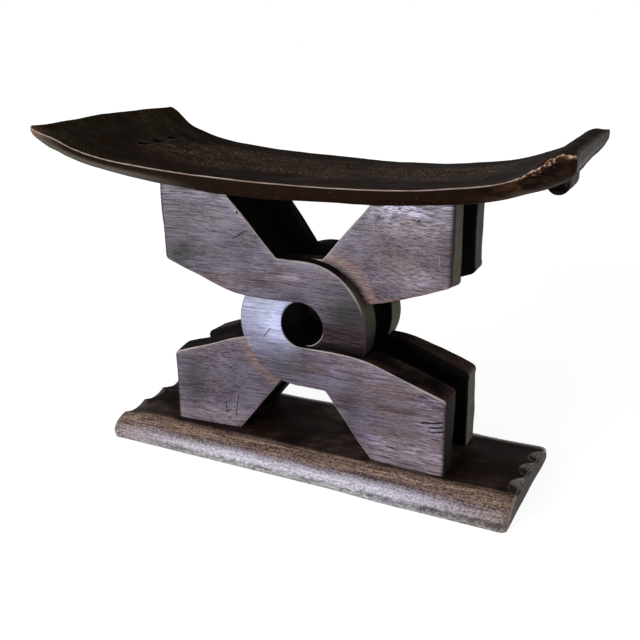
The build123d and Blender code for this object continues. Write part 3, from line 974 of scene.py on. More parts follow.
chip_wave, chip_shift = (5 * MM, 1.0, 53), 0.8 * MM
end_reach, end_foot = (0, 1.5), 5 * MM
rim_gain, rim_spread, left_rim, near_rim = 5, (-1.8, -0.8), 0.1, 0.3
left_scoop = 0.25
# a dark line a few millimetres above the floor is painted shadow
foot_line_fall, foot_shadow_hump, foot_shadow_run = (3.4, 1.8), (4.4, 1.2), (-190, -130)
# the painted sheen on the front shoulder is strongest in the middle of the base
along_left, along_right = (-225, -35), (200, 90)
floor_height = 0.5 * MM          # points lower than this are set down on the floor
print("the left end is worn down by", left_wear / MM, "mm")

# %% Build the base
def build_base():
    """Carries the loaf section along X, rounds the ends, gouges the scoops and frays the foot."""
    rows = np.concatenate([
        stretch(-base_half_length + base_end_arris, -scoop_zone, fine_step),
        stretch(-scoop_zone, scoop_zone, coarse_step),
        np.linspace(scoop_zone, base_half_length - base_end_arris, scoop_rows)])[1:-1]
    place, opened, turned = board_rows(base_half_length, base_end_arris, rows)
    ring_y, ring_z = base_ring()
    x = place[:, None] + 0 * ring_y
    inset = plan_inset(place, base_half_length, base_corner) + base_end_arris * (1 - turned) * corner_share
    y = ring_y * (1 - inset[:, None] / base_half_depth)
    past = np.clip((np.abs(ring_y) - base_flat) / base_round_run, 0, 1)
    middle = (base_top - base_round_rise * (1 - np.sqrt(1 - past ** 2))) / 2
    half = (opened[:, None] * np.maximum(middle - base_end_arris, 0)
            + turned[:, None] * np.minimum(base_end_arris, middle))
    z = middle + (ring_z - middle) / middle * half
    places, cut, far_side = scooped(np.stack([x, y, z], -1))
    x, y, z = np.moveaxis(places, -1, 0)

    left_end = left_wear * ramp(x, left_wear_run) * ramp(y, left_wear_across)
    drop = left_end + ramp(y, back_span) * (back_drop + back_twist * ramp(x, back_twist_run))
    z = z - drop * np.clip(z / base_top, 0, 1)
    fray = np.minimum(sum(waver(places, *wave) for wave in fray_waves), fray_limit)
    near = y < -base_flat
    flare = foot_flare * ramp(z, foot_flare_fall) * (flare_left + flare_gain * ramp(x, flare_gain_run))
    y = y - near * flare
    y = y + np.sign(y) * (np.abs(y) > base_flat) * ramp(z, foot_rise) * ramp(z, foot_fall) * fray
    x = x + (end_skew * y / base_half_depth + end_bulge * bell(y, end_bulge_hump)) * ramp(x, end_skew_run)
    x = x - left_draw * ramp(x, left_draw_run) * ramp(y, left_draw_across)
    x = x + toe_cut * ramp(x, toe_run) * ramp(z, toe_fall) * ramp(y, toe_across)

    to_end = base_half_length - np.abs(place)[:, None]
    chipped = waver(places, *chip_wave)
    ragged = z - chip_shift * chipped
    marks = {
        "arris": bell(to_end, end_reach) * (z > end_foot) * end_arris_rub(turned),
        "end_face": (opened < 1)[:, None],
        # pale rims between the scoops, stronger on the far halves as painted light
        "rim": np.clip(cut * (1 - cut) * rim_gain, 0, 1) * between(chipped, *rim_spread)
        * np.where(x > 0, near_rim + (1 - near_rim) * far_side, left_rim),
        "scoop": cut * np.where(x > 0, 1, left_scoop),
        "far_side": far_side,
        "shoulder": past,
        "foot_line": ramp(ragged, foot_line_fall) * near,
        # painted shadow above the foot
        "undercut": bell(ragged, foot_shadow_hump) * near * ramp(x, foot_shadow_run),
        "along": ramp(x, along_left) * ramp(x, along_right),
    }
    piece = make_skin("plank_base", np.stack([x, y, z], -1), marks, "base")
    roughen(piece, *base_waves)
    points = read_vectors(piece.data.vertices, "co")
    points[points[:, 2] < floor_height, 2] = 0
    piece.data.vertices.foreach_set("co", points.ravel())
    return piece


base = build_base()

# %% [markdown]
# ## The grip lugs
# Under each end of the seat hangs a short bar with a half-round underside, where fingers find a hold
# when the stool is carried. The lugs are of the seat's wood, so they carry its marks too, most of
# them at nothing.

# %% Build the two lugs
lug_arris = 1.4 * MM
lug_sink = 1.5 * MM              # how far the lug's top runs into the seat
lug_straight = 0.9               # share of the length between the ends' arrises
lug_outer = (0.8, 0.95)
lug_waves = ((18, 0.15, 71),)
round_columns, wall_columns, root_columns, lug_rows = 40, 8, 10, 24


def build_lug(node):
    """A U-shaped section in X and Z, carried along Y between two rounded ends."""
    low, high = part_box(node)
    middle_x = (low.x + high.x) / 2
    radius = (high.x - low.x) / 2
    root = float(seat_underside(middle_x, 0.0)) + lug_sink
    axis_z = low.z + radius
    angle = np.linspace(0, np.pi, round_columns)
    wall = inside(0, 1, wall_columns)
    ring_x, ring_z = ring(
        (radius * np.cos(angle), axis_z - radius * np.sin(angle)), (-radius, axis_z + (root - axis_z) * wall),
        (radius * np.linspace(-1, 1, root_columns), root), (radius, root + (axis_z - root) * wall))
    rows = np.linspace(-lug_straight, lug_straight, lug_rows) * high.y
    place, opened, turned = board_rows(high.y, lug_arris, rows)
    shrink = ((1 - lug_arris / radius) * opened + turned * lug_arris / radius)[:, None]
    core = (root + axis_z) / 2
    x = middle_x + shrink * ring_x
    y = place[:, None] + 0 * ring_x
    z = core + shrink * (ring_z - core)
    outer = between(np.abs(ring_x) / radius, *lug_outer) * (ring_x * middle_x > 0)
    marks = dict.fromkeys(seat_labels, 0) | {"edge_band": 1, "right_edge": 1, "end_face": outer}
    piece = make_skin(node + "_skin", np.stack([x, y, z], -1), marks, node)
    roughen(piece, *lug_waves)
    return piece


lugs = [build_lug(node) for node in ("left_grip_lug", "right_grip_lug")]

# %% [markdown]
# ## Writing shaders as sums
# A finish is a network of nodes, but it reads best as arithmetic. The class below wraps one output
# socket, so that `streak * 0.4 + 0.6` adds the Math nodes that work it out. Any other node comes from
# one method, which takes the node's type, its settings, and the values or wires of its sockets.

# %% Define wires
class Wire:
    """One output socket. Sums and products of wires add Math nodes to the material."""

    def __init__(self, bench, socket):
        self.bench = bench
        self.socket = socket

    def _math(self, operation, *terms):
        return self.bench.node("ShaderNodeMath", {"operation": operation}, dict(enumerate(terms)))

    def __add__(self, other):
        return self._math("ADD", self, other)

    __radd__ = __add__

    def __sub__(self, other):
        return self._math("SUBTRACT", self, other)

    def __rsub__(self, other):
        return self._math("SUBTRACT", other, self)

    def __mul__(self, other):
        return self._math("MULTIPLY", self, other)

    __rmul__ = __mul__

    def at_most(self, other):
        return self._math("MINIMUM", self, other)

    def at_least(self, other):
        return self._math("MAXIMUM", self, other)

    def size(self):
        return self._math("ABSOLUTE", self)

    def between(self, low, high):
        """0 at low, 1 at high, eased between them."""
        return self.bench.node("ShaderNodeMapRange", {"interpolation_type": "SMOOTHSTEP", "clamp": True},
                               {"Value": self, "From Min": low, "From Max": high})


print("a wire knows +, -, *,", ", ".join(name for name in vars(Wire) if not name.startswith("_")))

# %% Define the workbench
SCRATCH_END = (0.7, 1.0)         # a scratch fades near its ends, in shares of its half length,
SCRATCH_SIDE = (0.6, 1.3)        # and at its sides, in shares of its half width


class Bench:
    """The workbench of one material, floor or sky: clears its tree, makes nodes and links them."""

    def __init__(self, owner):
        owner.use_nodes = True
        self.tree = owner.node_tree
        self.tree.nodes.clear()

    def node(self, kind, settings=None, sockets=None, output=0):
        """Adds a node of a kind, makes its settings, fills its sockets and returns one output."""
        made = self.tree.nodes.new(kind)
        for name, value in (settings or {}).items():
            setattr(made, name, value)
        for name, value in (sockets or {}).items():
            if isinstance(value, Wire):
                self.tree.links.new(value.socket, made.inputs[name])
            else:
                made.inputs[name].default_value = value
        return Wire(self, made.outputs[output]) if made.outputs else made

    def mark(self, label):
        """A number that was stored with the points of the skin."""
        return self.node("ShaderNodeAttribute", {"attribute_name": label}, output="Fac")

    def marks(self, labels):
        """The marks of several labels, which are written with spaces between them."""
        return [self.mark(label) for label in labels.split()]

    def mix(self, first, second, share):
        """A colour between two colours. Each is a wire, or three numbers for red, green and blue."""
        ends = [colour if isinstance(colour, Wire) else (*colour, 1) for colour in (first, second)]
        return self.node("ShaderNodeMix", {"data_type": "RGBA"}, {0: share, 6: ends[0], 7: ends[1]}, output=2)

    def scaled(self, colour, factor):
        """A colour times a number."""
        return self.node("ShaderNodeVectorMath", {"operation": "SCALE"}, {0: colour, "Scale": factor})

    def moved(self, place, shift):
        """A place plus a shift."""
        return self.node("ShaderNodeVectorMath", {"operation": "ADD"}, {0: place, 1: shift})

    def noise(self, vector, size, detail=3.0, roughness=0.55):
        """Cloudy noise with features of about the given size, in millimetres along each axis."""
        scale = tuple(1 / (length * MM) for length in size)
        spread = self.node("ShaderNodeMapping", {}, {"Vector": vector, "Scale": scale})
        return self.node("ShaderNodeTexNoise", {"noise_dimensions": "3D"},
                         {"Vector": spread, "Scale": 1.0, "Detail": detail, "Roughness": roughness})

    def strokes(self, vector, size, width, detail=1.0, roughness=0.5):
        """Thin winding strokes: 1 where a noise is near its middle level, 0 further off than the width."""
        return 1 - (self.noise(vector, size, detail, roughness) - 0.5).size().between(*width)

    def axes(self, vector):
        """The three numbers of a vector."""
        return [self.node("ShaderNodeSeparateXYZ", {}, {0: vector}, output=axis) for axis in "XYZ"]

    def scratches(self, vector, lines):
        """1 on straight lines across a panel's face, 0 beside them. Each line has x and z of both ends
        and a width, in millimetres. A Mapping node lays each line on the X axis from -1 to 1."""
        drawn = 0.0
        for x1, z1, x2, z2, width in lines:
            half_span = np.hypot(x2 - x1, z2 - z1) / 2
            turn = -np.arctan2(z2 - z1, x2 - x1)
            laid = self.node("ShaderNodeMapping", {"vector_type": "TEXTURE"}, {
                "Vector": vector, "Location": ((x1 + x2) / 2 * MM, 0.0, (z1 + z2) / 2 * MM),
                "Rotation": (0.0, float(turn), 0.0), "Scale": (float(half_span) * MM, 1.0, width / 2 * MM)})
            along, _, beside = self.axes(laid)
            line = (1 - along.size().between(*SCRATCH_END)) * (1 - beside.size().between(*SCRATCH_SIDE))
            drawn = line.at_least(drawn)
        return drawn


# %% [markdown]
# ## What all the wood shares
# The fibres run level along the stool, through seat, links and base alike. They show as streaks a
# hand long and less than a millimetre high, with finer hairlines between them. Wax and handling fill
# some of them, so the gloss changes from streak to streak too.

# %% Define the grain
DRIFT_SIZE = (90, 60, 45)
DRIFT_Y = 8 * MM                 # how far the fibres stray sideways and up
DRIFT_Z = 9 * MM


def grain(bench):
    """Object coordinates bent a little, then broad streaks, fine streaks, pores, thin winding strokes,
    a slow cloud and specks."""
    place = bench.node("ShaderNodeTexCoord", output="Object")
    drift = bench.noise(place, DRIFT_SIZE, 1.0) - 0.5
    bent = bench.moved(place, bench.node(
        "ShaderNodeCombineXYZ", {}, {"X": 0.0, "Y": drift * DRIFT_Y, "Z": drift * DRIFT_Z}))
    return SimpleNamespace(
        place=place,
        broad=bench.noise(bent, (75, 12, 9), 2.0, 0.5),
        streak=bench.noise(bent, (60, 3, 1.7), 4.0, 0.70),
        hair=bench.noise(bent, (30, 1.3, 0.8), 3.0, 0.74),
        pore=bench.noise(bent, (13, 0.9, 0.7), 1.0, 0.5),
        curl=bench.strokes(bent, (11, 2.6, 1.5), (0.02, 0.10), 1.5),
        cloud=bench.noise(place, (38, 38, 38), 2.0, 0.55),
        speck=bench.noise(place, (2.2, 1.3, 1.2), 2.0, 0.65))


def new_wood(name):
    """An empty material with its bench and its grain."""
    material = bpy.data.materials.new(name)
    bench = Bench(material)
    return material, bench, grain(bench)


def finish(bench, colour, roughness, height, depth, gloss, wax, wax_roughness):
    """Joins colour, roughness, relief and the layer of wax in the shader. gloss is how much the bare
    wood reflects, the same all over, and wax is a number from 0 to 1 that changes from place to place."""
    relief = bench.node("ShaderNodeBump", {}, {"Height": height, "Strength": 1.0, "Distance": depth})
    shader = bench.node("ShaderNodeBsdfPrincipled", {}, {
        "Base Color": colour, "Roughness": roughness, "Normal": relief, "Specular IOR Level": gloss,
        "Coat Weight": wax, "Coat Roughness": wax_roughness})
    bench.node("ShaderNodeOutputMaterial", {}, {"Surface": shader})


# %% [markdown]
# ## The wood of the panels
# The outer faces of the panels have lost most of their black stain and show a brown wood under a grey,
# faintly purple bloom of old wax. The walls of the cuts kept the stain, except the outer sides, which
# are olive grey, with painted light on them that changes with height. Beside each crossing the knife
# left a fresher, pinkish band, and the arrises that hands and cloths reach from above are rubbed down
# to pale wood. Painted light lies over the faces as well: broad painted highlights and painted shade,
# a bluish painted highlight on one curl, painted shade where the other curl dives, and painted shade
# along the arrises that face down.
#
# In the finishes below each line lays one colour over what is there. Most colours lie between a dark and a
# pale one, given as red, green and blue from 0 to 1, and the last entry says where the colour lies.

# %% Make the panel wood
checks = [                       # short splits and cuts: x and z of both ends, and width
    (-83, 33, -81.5, 49, 0.9), (-74, 29, -69, 57, 0.8), (-73, 64.5, -67, 62.5, 1.0),
    (114, 68.6, 137, 73, 1.9), (121, 65.6, 137, 68.6, 1.7), (120, 61.3, 137, 64.3, 1.3),
    (-61.6, 210, -47, 218.6, 0.9), (-57, 234, -52, 233.4, 1.8), (-35, 122, -27, 131.5, 0.8),
    (105.5, 236, 109.5, 238.4, 0.9), (112, 92, 122, 91, 0.8), (84, 40, 92, 38.5, 0.7),
]
scuffs = [                       # short pale scratches
    (65, 182.4, 80, 183.6, 0.9), (88, 236, 106, 235.4, 0.8), (125, 203, 125.6, 212, 0.6),
    (122, 67.6, 136, 70.8, 0.9), (123, 63.8, 136, 66.3, 0.9), (96, 243, 101, 232, 0.7),
]
shake = 7 * MM                   # how far the noise bends the splits
panel_relief = 0.22 * MM
panel_gloss = 0.10
panel_wax_roughness = 0.36
shadow = (0.006, 0.003, 0.003)   # what a split or a deep gap shows
bare_fibre = (0.34, 0.26, 0.25)
painted_highlight_blue = (0.64, 0.69, 1.00)
painted_lit_colour = (0.84, 0.76, 0.95)
dusty = (0.27, 0.205, 0.228)
scuffed = (0.52, 0.42, 0.40)
painted_arris_shade = (0.010, 0.006, 0.006)


def make_panel_wood():
    """Bloom, streaks and painted light and shade on the faces, olive grey and painted light on the walls,
    pale arrises and painted shade on others.
    """
    material, bench, g = new_wood("panel_wood")
    mix, scaled = bench.mix, bench.scaled
    facing, arris, shade, worn, fold, polish, side, foot, tone, over, tuck = bench.marks(
        "facing arris shade_arris worn fold polish side foot tone over tuck")
    place_x, place_y, _ = bench.axes(g.place)
    front = 1 - place_y.between(-30 * MM, -20 * MM)
    left = 1 - place_x.between(15 * MM, 105 * MM)

    # faces: dark pores and lines under a bloom of wax, which is greyer here and more purple there
    bloom = (0.50 * g.cloud + 0.50 * g.broad + 0.13 * left - 0.035).between(0.38, 0.62)
    patch = bench.noise(g.place, (45, 20, 22), 3.0, 0.6).between(0.36, 0.64)
    lines = g.hair.between(0.39, 0.61)
    streaks = 0.04 + 0.62 * g.streak.between(0.34, 0.66) + 0.84 * lines + 0.36 * g.curl
    streaks = streaks * (0.70 + 0.56 * patch)
    pores = 1 - 0.45 * g.pore.between(0.54, 0.66)
    lavender = mix((0.186, 0.124, 0.146), (0.186, 0.148, 0.238), bloom)
    face = mix((0.034, 0.015, 0.013), lavender, (streaks * pores * 0.68).at_most(1.0))
    face = mix(face, bare_fibre, lines * g.speck.between(0.50, 0.62) * 0.55)
    # painted highlight: a pale blue sheen laid on one curl
    sheen = scaled(painted_highlight_blue, 0.50 + 0.50 * streaks)
    face = mix(face, sheen, polish * (0.68 + 0.32 * bloom))
    # painted highlight where the patches raise the tone, painted shade where they lower it
    lit = scaled(painted_lit_colour, 0.15 + 0.85 * streaks * streaks)
    face = mix(scaled(face, tone), lit, ((tone - 1) * 0.75).at_least(0.0).at_most(0.8))
    face = mix(face, scaled(dusty, streaks), foot * 0.7)
    rust = mix((0.10, 0.054, 0.046), (0.44, 0.275, 0.235), g.curl * 0.35 + lines * 0.65)
    face = mix(face, rust, worn * g.cloud.between(0.34, 0.52) * 0.85)
    # the diving curl: partly red brown wood, partly painted shade, and painted shade at its foot
    brown = mix((0.005, 0.002, 0.002), (0.110, 0.052, 0.050), g.hair.between(0.44, 0.66))
    face = mix(face, brown, fold * (0.75 + 0.25 * g.streak.between(0.35, 0.60)))
    face = mix(face, shadow, tuck * 0.9)

    # scratches and splits on the front panel
    marked = facing * front
    bend = scaled((1.0, 0.0, 1.0), (g.cloud - 0.5 + g.speck * 0.2) * shake)
    cuts = bench.scratches(bench.moved(g.place, bend), checks) * marked
    face = mix(face, scuffed, bench.scratches(g.place, scuffs) * marked * 0.55)
    face = mix(face, shadow, cuts * 0.95)

    # walls and arrises
    stain = mix((0.0015, 0.001, 0.001), (0.008, 0.005, 0.0045), g.streak)
    worn_top = mix((0.016, 0.008, 0.007), (0.24, 0.135, 0.112), g.streak * 0.5 + g.curl * 0.4)
    stain = mix(stain, worn_top, over * g.cloud.between(0.35, 0.60))
    # olive grey of the outer sides, brightened by painted light through the side mark
    olive = mix((0.085, 0.078, 0.062), (0.350, 0.318, 0.262), g.broad * 0.6 + g.hair * 0.4)
    colour = mix(mix(stain, olive, side), face, facing)
    # painted shade along arrises that face down and beside the upright arris
    colour = mix(colour, painted_arris_shade, shade * 0.92)
    pale = mix((0.40, 0.32, 0.30), (0.95, 0.84, 0.80), g.speck)
    colour = mix(colour, pale, arris * g.cloud.between(0.20, 0.44))
    roughness = 0.50 + 0.20 * g.streak + 0.15 * (1 - facing)
    height = g.streak * 0.35 + lines * 0.30 + g.curl * 0.25 + g.pore * -0.20 - cuts * 1.5
    wax = facing * (1 - fold) * (1 - cuts) * (1 - shade) * (0.15 + 0.75 * streaks).at_most(1.0)
    finish(bench, colour, roughness, height, panel_relief, panel_gloss, wax, panel_wax_roughness)
    return material


panel_wood = make_panel_wood()
print("panel wood:", len(panel_wood.node_tree.nodes), "nodes")

# %% [markdown]
# ## The wood of the seat
# The seat is almost black. Sitting has worn its middle a little, so that ochre specks and fine
# scratches along the grain show through, and the edge below the rubbed arris is a dark red brown.
# A painted olive sheen lies on the top in patches, most of them near the left end, and a painted
# grey reflection runs along the low edge, most of it at the left.

# %% Make the seat wood
seat_relief = 0.25 * MM
seat_gloss = 0.03
seat_wax_roughness = 0.4
pale_low_end = (0.58, 0.56, 0.54)
edge_dot = (0.22, 0.12, 0.08)
pit_black = (0.002, 0.001, 0.001)
pit_ridge = (0.34, 0.27, 0.23)
rim_brown = (0.07, 0.030, 0.020)
lip_red = (0.26, 0.105, 0.050)
tip_brown = (0.30, 0.165, 0.105)


def make_seat_wood():
    """The top with its flecks and painted sheen, the edges with their wear and a painted reflection low down,
    and dark pits, painted shade in the hollow, lip, tip and arrises over both.
    """
    material, bench, g = new_wood("seat_wood")
    mix, noise = bench.mix, bench.noise
    arris, worn, carving, edge_band, top_side, ridge, low_band, end_face = bench.marks(
        "arris worn carving edge_band top_side ridge low_band end_face")
    left_end, rubbed, end_low, right_edge, bare_lip, tip = bench.marks(
        "left_end rubbed end_low right_edge lip tip")
    dark = mix((0.003, 0.001, 0.0005), (0.042, 0.017, 0.006), g.cloud * 0.6 + g.streak * 0.45)
    # painted sheen: olive grey patches on the top, more of them near the left end
    olive = mix((0.008, 0.006, 0.003), (0.060, 0.045, 0.026), g.broad * 0.5 + g.speck * 0.5)
    top = mix(dark, olive, (g.broad + 0.24 * left_end).between(0.52, 0.76) * 0.70)

    # flecks: winding strokes and dots, where years of sitting bared the wood
    curls = bench.strokes(g.place, (6, 4, 4), (0.02, 0.06), 2.0, 0.6) * g.speck.between(0.46, 0.56)
    dots = g.speck.between(0.58, 0.64)
    patch = (noise(g.place, (64, 26, 26), 4.0, 0.72) + 0.15 * rubbed).between(0.46, 0.74)
    fleck = curls.at_least(dots * 0.8) * patch
    ochre = mix((0.13, 0.062, 0.030), (0.80, 0.52, 0.34), g.speck.between(0.48, 0.66))
    top = mix(top, ochre, fleck * (0.40 + 0.50 * rubbed))

    # edges: red brown, grey on the right end and paler low at its front, golden near it, and a painted grey
    # reflection along the low edge
    edge = mix((0.001, 0.0004, 0.0003), (0.024, 0.009, 0.0035), g.streak * 0.5 + g.cloud * 0.5)
    upright = noise(g.place, (3, 1.8, 10), 2.0, 0.6)
    weathered = mix((0.012, 0.010, 0.009), (0.150, 0.140, 0.130), upright.between(0.36, 0.64))
    edge = mix(edge, weathered, end_face * 0.9)
    edge = mix(edge, pale_low_end, end_low * (0.4 + 0.6 * upright.between(0.30, 0.55)))
    mottle = noise(g.place, (16, 8, 3.5), 3.0, 0.65).between(0.40, 0.70)
    golden = mix((0.004, 0.0015, 0.001), (0.076, 0.034, 0.016), mottle)
    edge = mix(edge, golden, right_edge * (1 - end_face))
    edge = mix(edge, edge_dot, g.speck.between(0.67, 0.72) * 0.5)
    # painted reflection: grey along the low edge
    grey = mix((0.060, 0.046, 0.034), (0.270, 0.225, 0.180), g.streak)
    edge = mix(edge, grey, low_band * 0.75)

    # what lies over both: the dark pits with painted shade in the hollow below the lip, the knocked rim, the
    # bare lip and tip, the rubbed arris
    colour = mix(top, edge, edge_band.at_least(end_face))
    colour = mix(colour, pit_black, carving * 0.92)
    colour = mix(colour, pit_ridge, ridge * ridge * 0.7)
    crumbs = noise(g.place, (1.9, 1.9, 1.9), 1.5, 0.6)
    bare = mix((0.20, 0.080, 0.036), (1.0, 0.68, 0.48), crumbs.between(0.44, 0.60))
    colour = mix(colour, rim_brown, worn * 0.5)
    colour = mix(colour, bare, worn * crumbs.between(0.56, 0.64) * 0.9)
    colour = mix(colour, lip_red, bare_lip * 0.85)
    colour = mix(colour, bare, bare_lip * crumbs.between(0.42, 0.52))
    colour = mix(colour, tip_brown, tip * g.streak.between(0.25, 0.50))
    pale = mix((0.46, 0.30, 0.22), (1.0, 0.84, 0.74), g.hair.between(0.3, 0.65))
    colour = mix(colour, pale, arris * g.cloud.between(0.10, 0.42))
    roughness = 0.50 + 0.16 * g.streak
    height = g.streak * 0.3 + g.hair * 0.3 + fleck * top_side * 0.5
    wax = 0.01 * top_side * g.streak + 0.25 * arris + 0.03 * low_band
    finish(bench, colour, roughness, height, seat_relief, seat_gloss, wax, seat_wax_roughness)
    return material


seat_wood = make_seat_wood()
print("seat wood:", len(seat_wood.node_tree.nodes), "nodes")

# %% [markdown]
# ## The wood of the base
# Feet and brooms have scuffed the base. Its front shoulder is brown with a dense pale speckle, and
# towards the foot a painted pale sheen and grey gloss lie over it, above a painted shadow line. The top
# behind it is dark, and the scoops are slate grey with painted light on their far halves.

# %% Make the base wood
base_relief = 0.25 * MM
base_gloss = 0.10
base_wax_roughness = 0.34
top_scratch = (0.12, 0.095, 0.095)
foot_shadow_colour = (0.060, 0.055, 0.044)
painted_lit_grey = (0.32, 0.30, 0.30)


def make_base_wood():
    """A dark top, bands of brown, rose and a painted pale sheen down the shoulder, a painted shadow above the
    foot, the foot, the end and the scoops with painted light.
    """
    material, bench, g = new_wood("base_wood")
    mix, noise = bench.mix, bench.noise
    arris, end_face, scoop, rim, shoulder, foot_line, along, undercut, far_side = bench.marks(
        "arris end_face scoop rim shoulder foot_line along undercut far_side")
    fine = noise(g.place, (2.2, 1.2, 1.2), 2.0, 0.65)
    worms = bench.strokes(g.place, (3.2, 1.9, 1.9), (0.02, 0.12))
    hairline = noise(g.place, (70, 1.3, 5), 1.0, 0.5).between(0.66, 0.74)
    grit = 0.44 * fine + 0.24 * g.hair + 0.24 * g.streak + 0.08 * worms
    stray = g.cloud - 0.5
    top = mix((0.002, 0.001, 0.001), (0.040, 0.018, 0.014), g.streak * 0.6 + g.cloud * 0.4)
    top = mix(top, top_scratch, hairline * 0.55)
    brown = mix((0.034, 0.015, 0.009), (0.66, 0.45, 0.34), grit.between(0.36, 0.66))
    slope = (shoulder + stray * 0.45).between(-0.04, 0.34)
    colour = mix(top, bench.scaled(brown, 0.60 + 0.8 * g.streak.between(0.3, 0.7)), slope)
    # a rosy band, partly the wood's colour and partly the start of the painted sheen
    rosy = mix((0.046, 0.026, 0.024), (0.32, 0.225, 0.225), grit.between(0.36, 0.66))
    lower = (shoulder + stray * 0.25).between(0.50, 0.84)
    colour = mix(colour, rosy, lower * (0.50 + 0.50 * along))
    # painted sheen: pale lavender low on the front shoulder
    painted_sheen_pale = mix((0.24, 0.21, 0.26), (0.86, 0.80, 0.94), grit.between(0.34, 0.62))
    painted_sheen_band = (shoulder + stray * 0.16).between(0.70, 0.94)
    colour = mix(colour, painted_sheen_pale, painted_sheen_band * (0.12 + 0.80 * along))
    # painted shadow line above the foot
    colour = mix(colour, foot_shadow_colour, undercut * 0.85)
    ragged = mix((0.06, 0.06, 0.05), (0.48, 0.46, 0.41), g.speck.between(0.35, 0.62))
    colour = mix(colour, ragged, foot_line * 0.85)
    olive = mix((0.016, 0.014, 0.012), (0.070, 0.062, 0.052), g.speck)
    colour = mix(colour, olive, end_face * 0.9)
    slate = mix((0.004, 0.005, 0.007), (0.034, 0.036, 0.045), g.hair)
    # painted light: the far half of each scoop paler grey
    slate = mix(slate, painted_lit_grey, far_side * g.speck.between(0.25, 0.60))
    colour = mix(colour, slate, scoop * 0.9)
    pale = mix((0.24, 0.18, 0.14), (0.56, 0.46, 0.39), g.speck)
    colour = mix(colour, pale, rim * 0.7)
    colour = mix(colour, pale, arris * g.speck.between(0.34, 0.50) * 0.95)
    roughness = 0.50 + 0.20 * g.streak
    height = g.streak * 0.3 + g.hair * 0.25 + fine * 0.35
    wax = slope * (1 - end_face) * (0.45 + 0.55 * grit.between(0.36, 0.60)) * (0.55 + 0.45 * along)
    wax = wax.at_least(0.10 * scoop)
    finish(bench, colour, roughness, height, base_relief, base_gloss, wax, base_wax_roughness)
    return material


base_wood = make_base_wood()
print("base wood:", len(base_wood.node_tree.nodes), "nodes")

# %% Give the pieces their wood
for wood, pieces in ((panel_wood, links), (seat_wood, [seat, *lugs]), (base_wood, [base])):
    for piece in pieces:
        piece.data.materials.append(wood)
    print(wood.name, "on", ", ".join(piece.name for piece in pieces))

# %% [markdown]
# ## The studio
# The stool stands on a pale floor in front of nothing. One large soft lamp stands to the front left
# and low, so that the upright faces are lit and shine a little while the tops stay dark, as dark
# waxed wood does in a room lit through one window. A weak lamp at the right opens the shadows.
#
# What the camera sees of floor and sky is nearly white, and so is a band low on the walls in
# reflections, but neither sends that much light to the stool.

# %% Lay the floor
floor_size = 14.0
floor_paint = (0.50, 0.50, 0.50, 1)
floor_glow = 0.88                # what the camera sees of the floor beside its lit paint
glow_span = (0.7, 2.2)           # it grows to 1 between these distances
white = (1, 1, 1, 1)


def seeing_rays(bench):
    """1 for rays of the camera, and 1 for rays that a surface reflected or let through."""
    camera, glossy, through = (bench.node("ShaderNodeLightPath", output=f"Is {kind} Ray")
                               for kind in ("Camera", "Glossy", "Transmission"))
    return camera, glossy.at_least(through)


def make_floor():
    """A square with matt paint, which glows for the camera alone and so keeps its shadow."""
    mesh = bpy.data.meshes.new("studio_floor")
    corners = np.array([(-1, -1, 0), (1, -1, 0), (1, 1, 0), (-1, 1, 0)]) * floor_size / 2
    mesh.from_pydata(corners, [], [(0, 1, 2, 3)])
    floor = bpy.data.objects.new("studio_floor", mesh)
    bpy.context.scene.collection.objects.link(floor)
    material = bpy.data.materials.new("studio_floor_paint")
    bench = Bench(material)
    matt = bench.node("ShaderNodeBsdfDiffuse", {}, {"Color": floor_paint})
    camera, mirrored = seeing_rays(bench)
    place = bench.node("ShaderNodeTexCoord", output="Object")
    distance = bench.node("ShaderNodeVectorMath", {"operation": "LENGTH"}, {0: place}, output="Value")
    strength = camera.at_least(mirrored) * (floor_glow + (1 - floor_glow) * distance.between(*glow_span))
    glow = bench.node("ShaderNodeEmission", {}, {"Color": white, "Strength": strength})
    both = bench.node("ShaderNodeAddShader", {}, {0: matt, 1: glow})
    bench.node("ShaderNodeOutputMaterial", {}, {"Surface": both})
    mesh.materials.append(material)


make_floor()
print("floor", floor_size, "m wide")

# %% Light the room
lamps = {                        # place, what it faces, width and height, power, colour
    "window": ((-1.15, -2.25, 0.62), (0, 0, 0.35), (1.5, 1.3), 50, (0.96, 0.97, 1.0)),
    "right_fill": ((2.3, 0.1, 0.8), (0, 0, 0.15), (1.0, 1.2), 9, (1.0, 0.98, 0.93)),
}
room_light = 0.14
wall_span = (0.0, 0.16)          # heights of the direction between which the white band fades out


def stand(name, data, place, side, up, away):
    """Puts a lamp or a camera at a place, its X to the side, its Y up, its Z away from what it faces."""
    holder = bpy.data.objects.new(name, data)
    rows = zip(np.stack([side, up, away], 1), place)
    holder.matrix_world = Matrix([[*row, spot] for row, spot in rows] + [[0, 0, 0, 1]])
    bpy.context.scene.collection.objects.link(holder)
    return holder


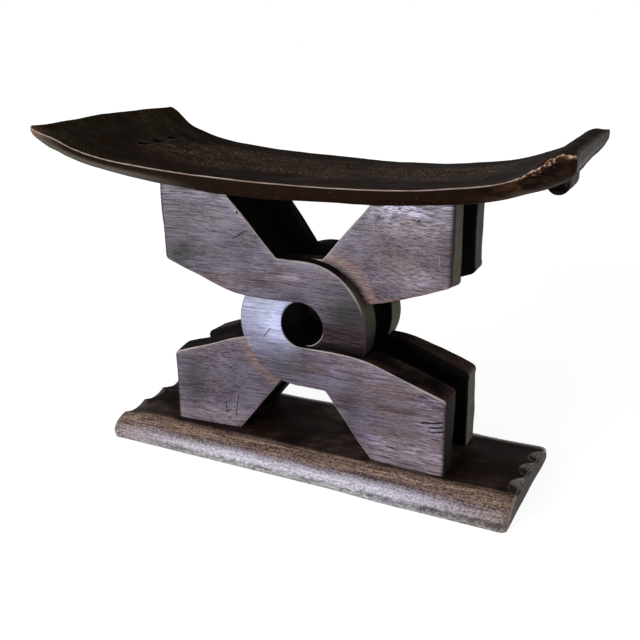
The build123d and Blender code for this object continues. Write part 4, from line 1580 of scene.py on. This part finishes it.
def make_lamp(name, place, aim, size, power, colour):
    """A rectangular area lamp at a place, turned so that it faces another place."""
    lamp = bpy.data.lights.new(name, "AREA")
    lamp.shape = "RECTANGLE"
    lamp.size, lamp.size_y = size
    lamp.energy = power
    lamp.color = colour
    away = np.array(place) - np.array(aim)
    away /= np.linalg.norm(away)
    side = np.cross((0, 0, 1), away)
    side /= np.linalg.norm(side)
    stand(name, lamp, place, side, np.cross(away, side), away)


def make_world():
    """Dim room, white where the camera looks, and a white band low on the walls for reflections."""
    world = bpy.data.worlds.new("studio_room")
    bench = Bench(world)
    direction = bench.node("ShaderNodeTexCoord", output="Generated")
    wall = 1 - bench.axes(direction)[2].between(*wall_span)
    camera, mirrored = seeing_rays(bench)
    strength = camera.at_least(mirrored * wall).at_least(room_light)
    sky = bench.node("ShaderNodeBackground", {}, {"Color": white, "Strength": strength})
    bench.node("ShaderNodeOutputWorld", {}, {"Surface": sky})
    bpy.context.scene.world = world


for name, settings in lamps.items():
    make_lamp(name, *settings)
make_world()
print("lamps:", ", ".join(lamps))

# %% [markdown]
# ## The camera
# The camera stands in front and to the right, a little above the seat, and looks down.

# %% Set the camera
camera_place = (295.5 * MM, -593.5 * MM, 353.7 * MM)
camera_yaw = np.radians(26.46)
camera_pitch = np.radians(18.72)
camera_roll = np.radians(-0.84)
SENSOR = 36.0
FOCAL_SHARE = 759.1 / 640        # focal length as a share of the picture's width
NEAREST = 0.01


def make_camera():
    """Forward from yaw and pitch, right and up square to it, both turned by the roll."""
    forward = np.array([-np.sin(camera_yaw) * np.cos(camera_pitch),
                        np.cos(camera_yaw) * np.cos(camera_pitch), -np.sin(camera_pitch)])
    level = np.array([np.cos(camera_yaw), np.sin(camera_yaw), 0.0])
    upright = np.cross(level, forward)
    right = np.cos(camera_roll) * level + np.sin(camera_roll) * upright
    up = -np.sin(camera_roll) * level + np.cos(camera_roll) * upright
    lens = bpy.data.cameras.new("camera")
    lens.sensor_width = SENSOR
    lens.lens = SENSOR * FOCAL_SHARE
    lens.clip_start = NEAREST
    bpy.context.scene.camera = stand("camera", lens, camera_place, right, up, -forward)
    print("lens", round(lens.lens, 2), "mm")


make_camera()
bpy.context.scene.view_settings.view_transform = "Standard"

# %% Update the scene
bpy.context.view_layer.update()
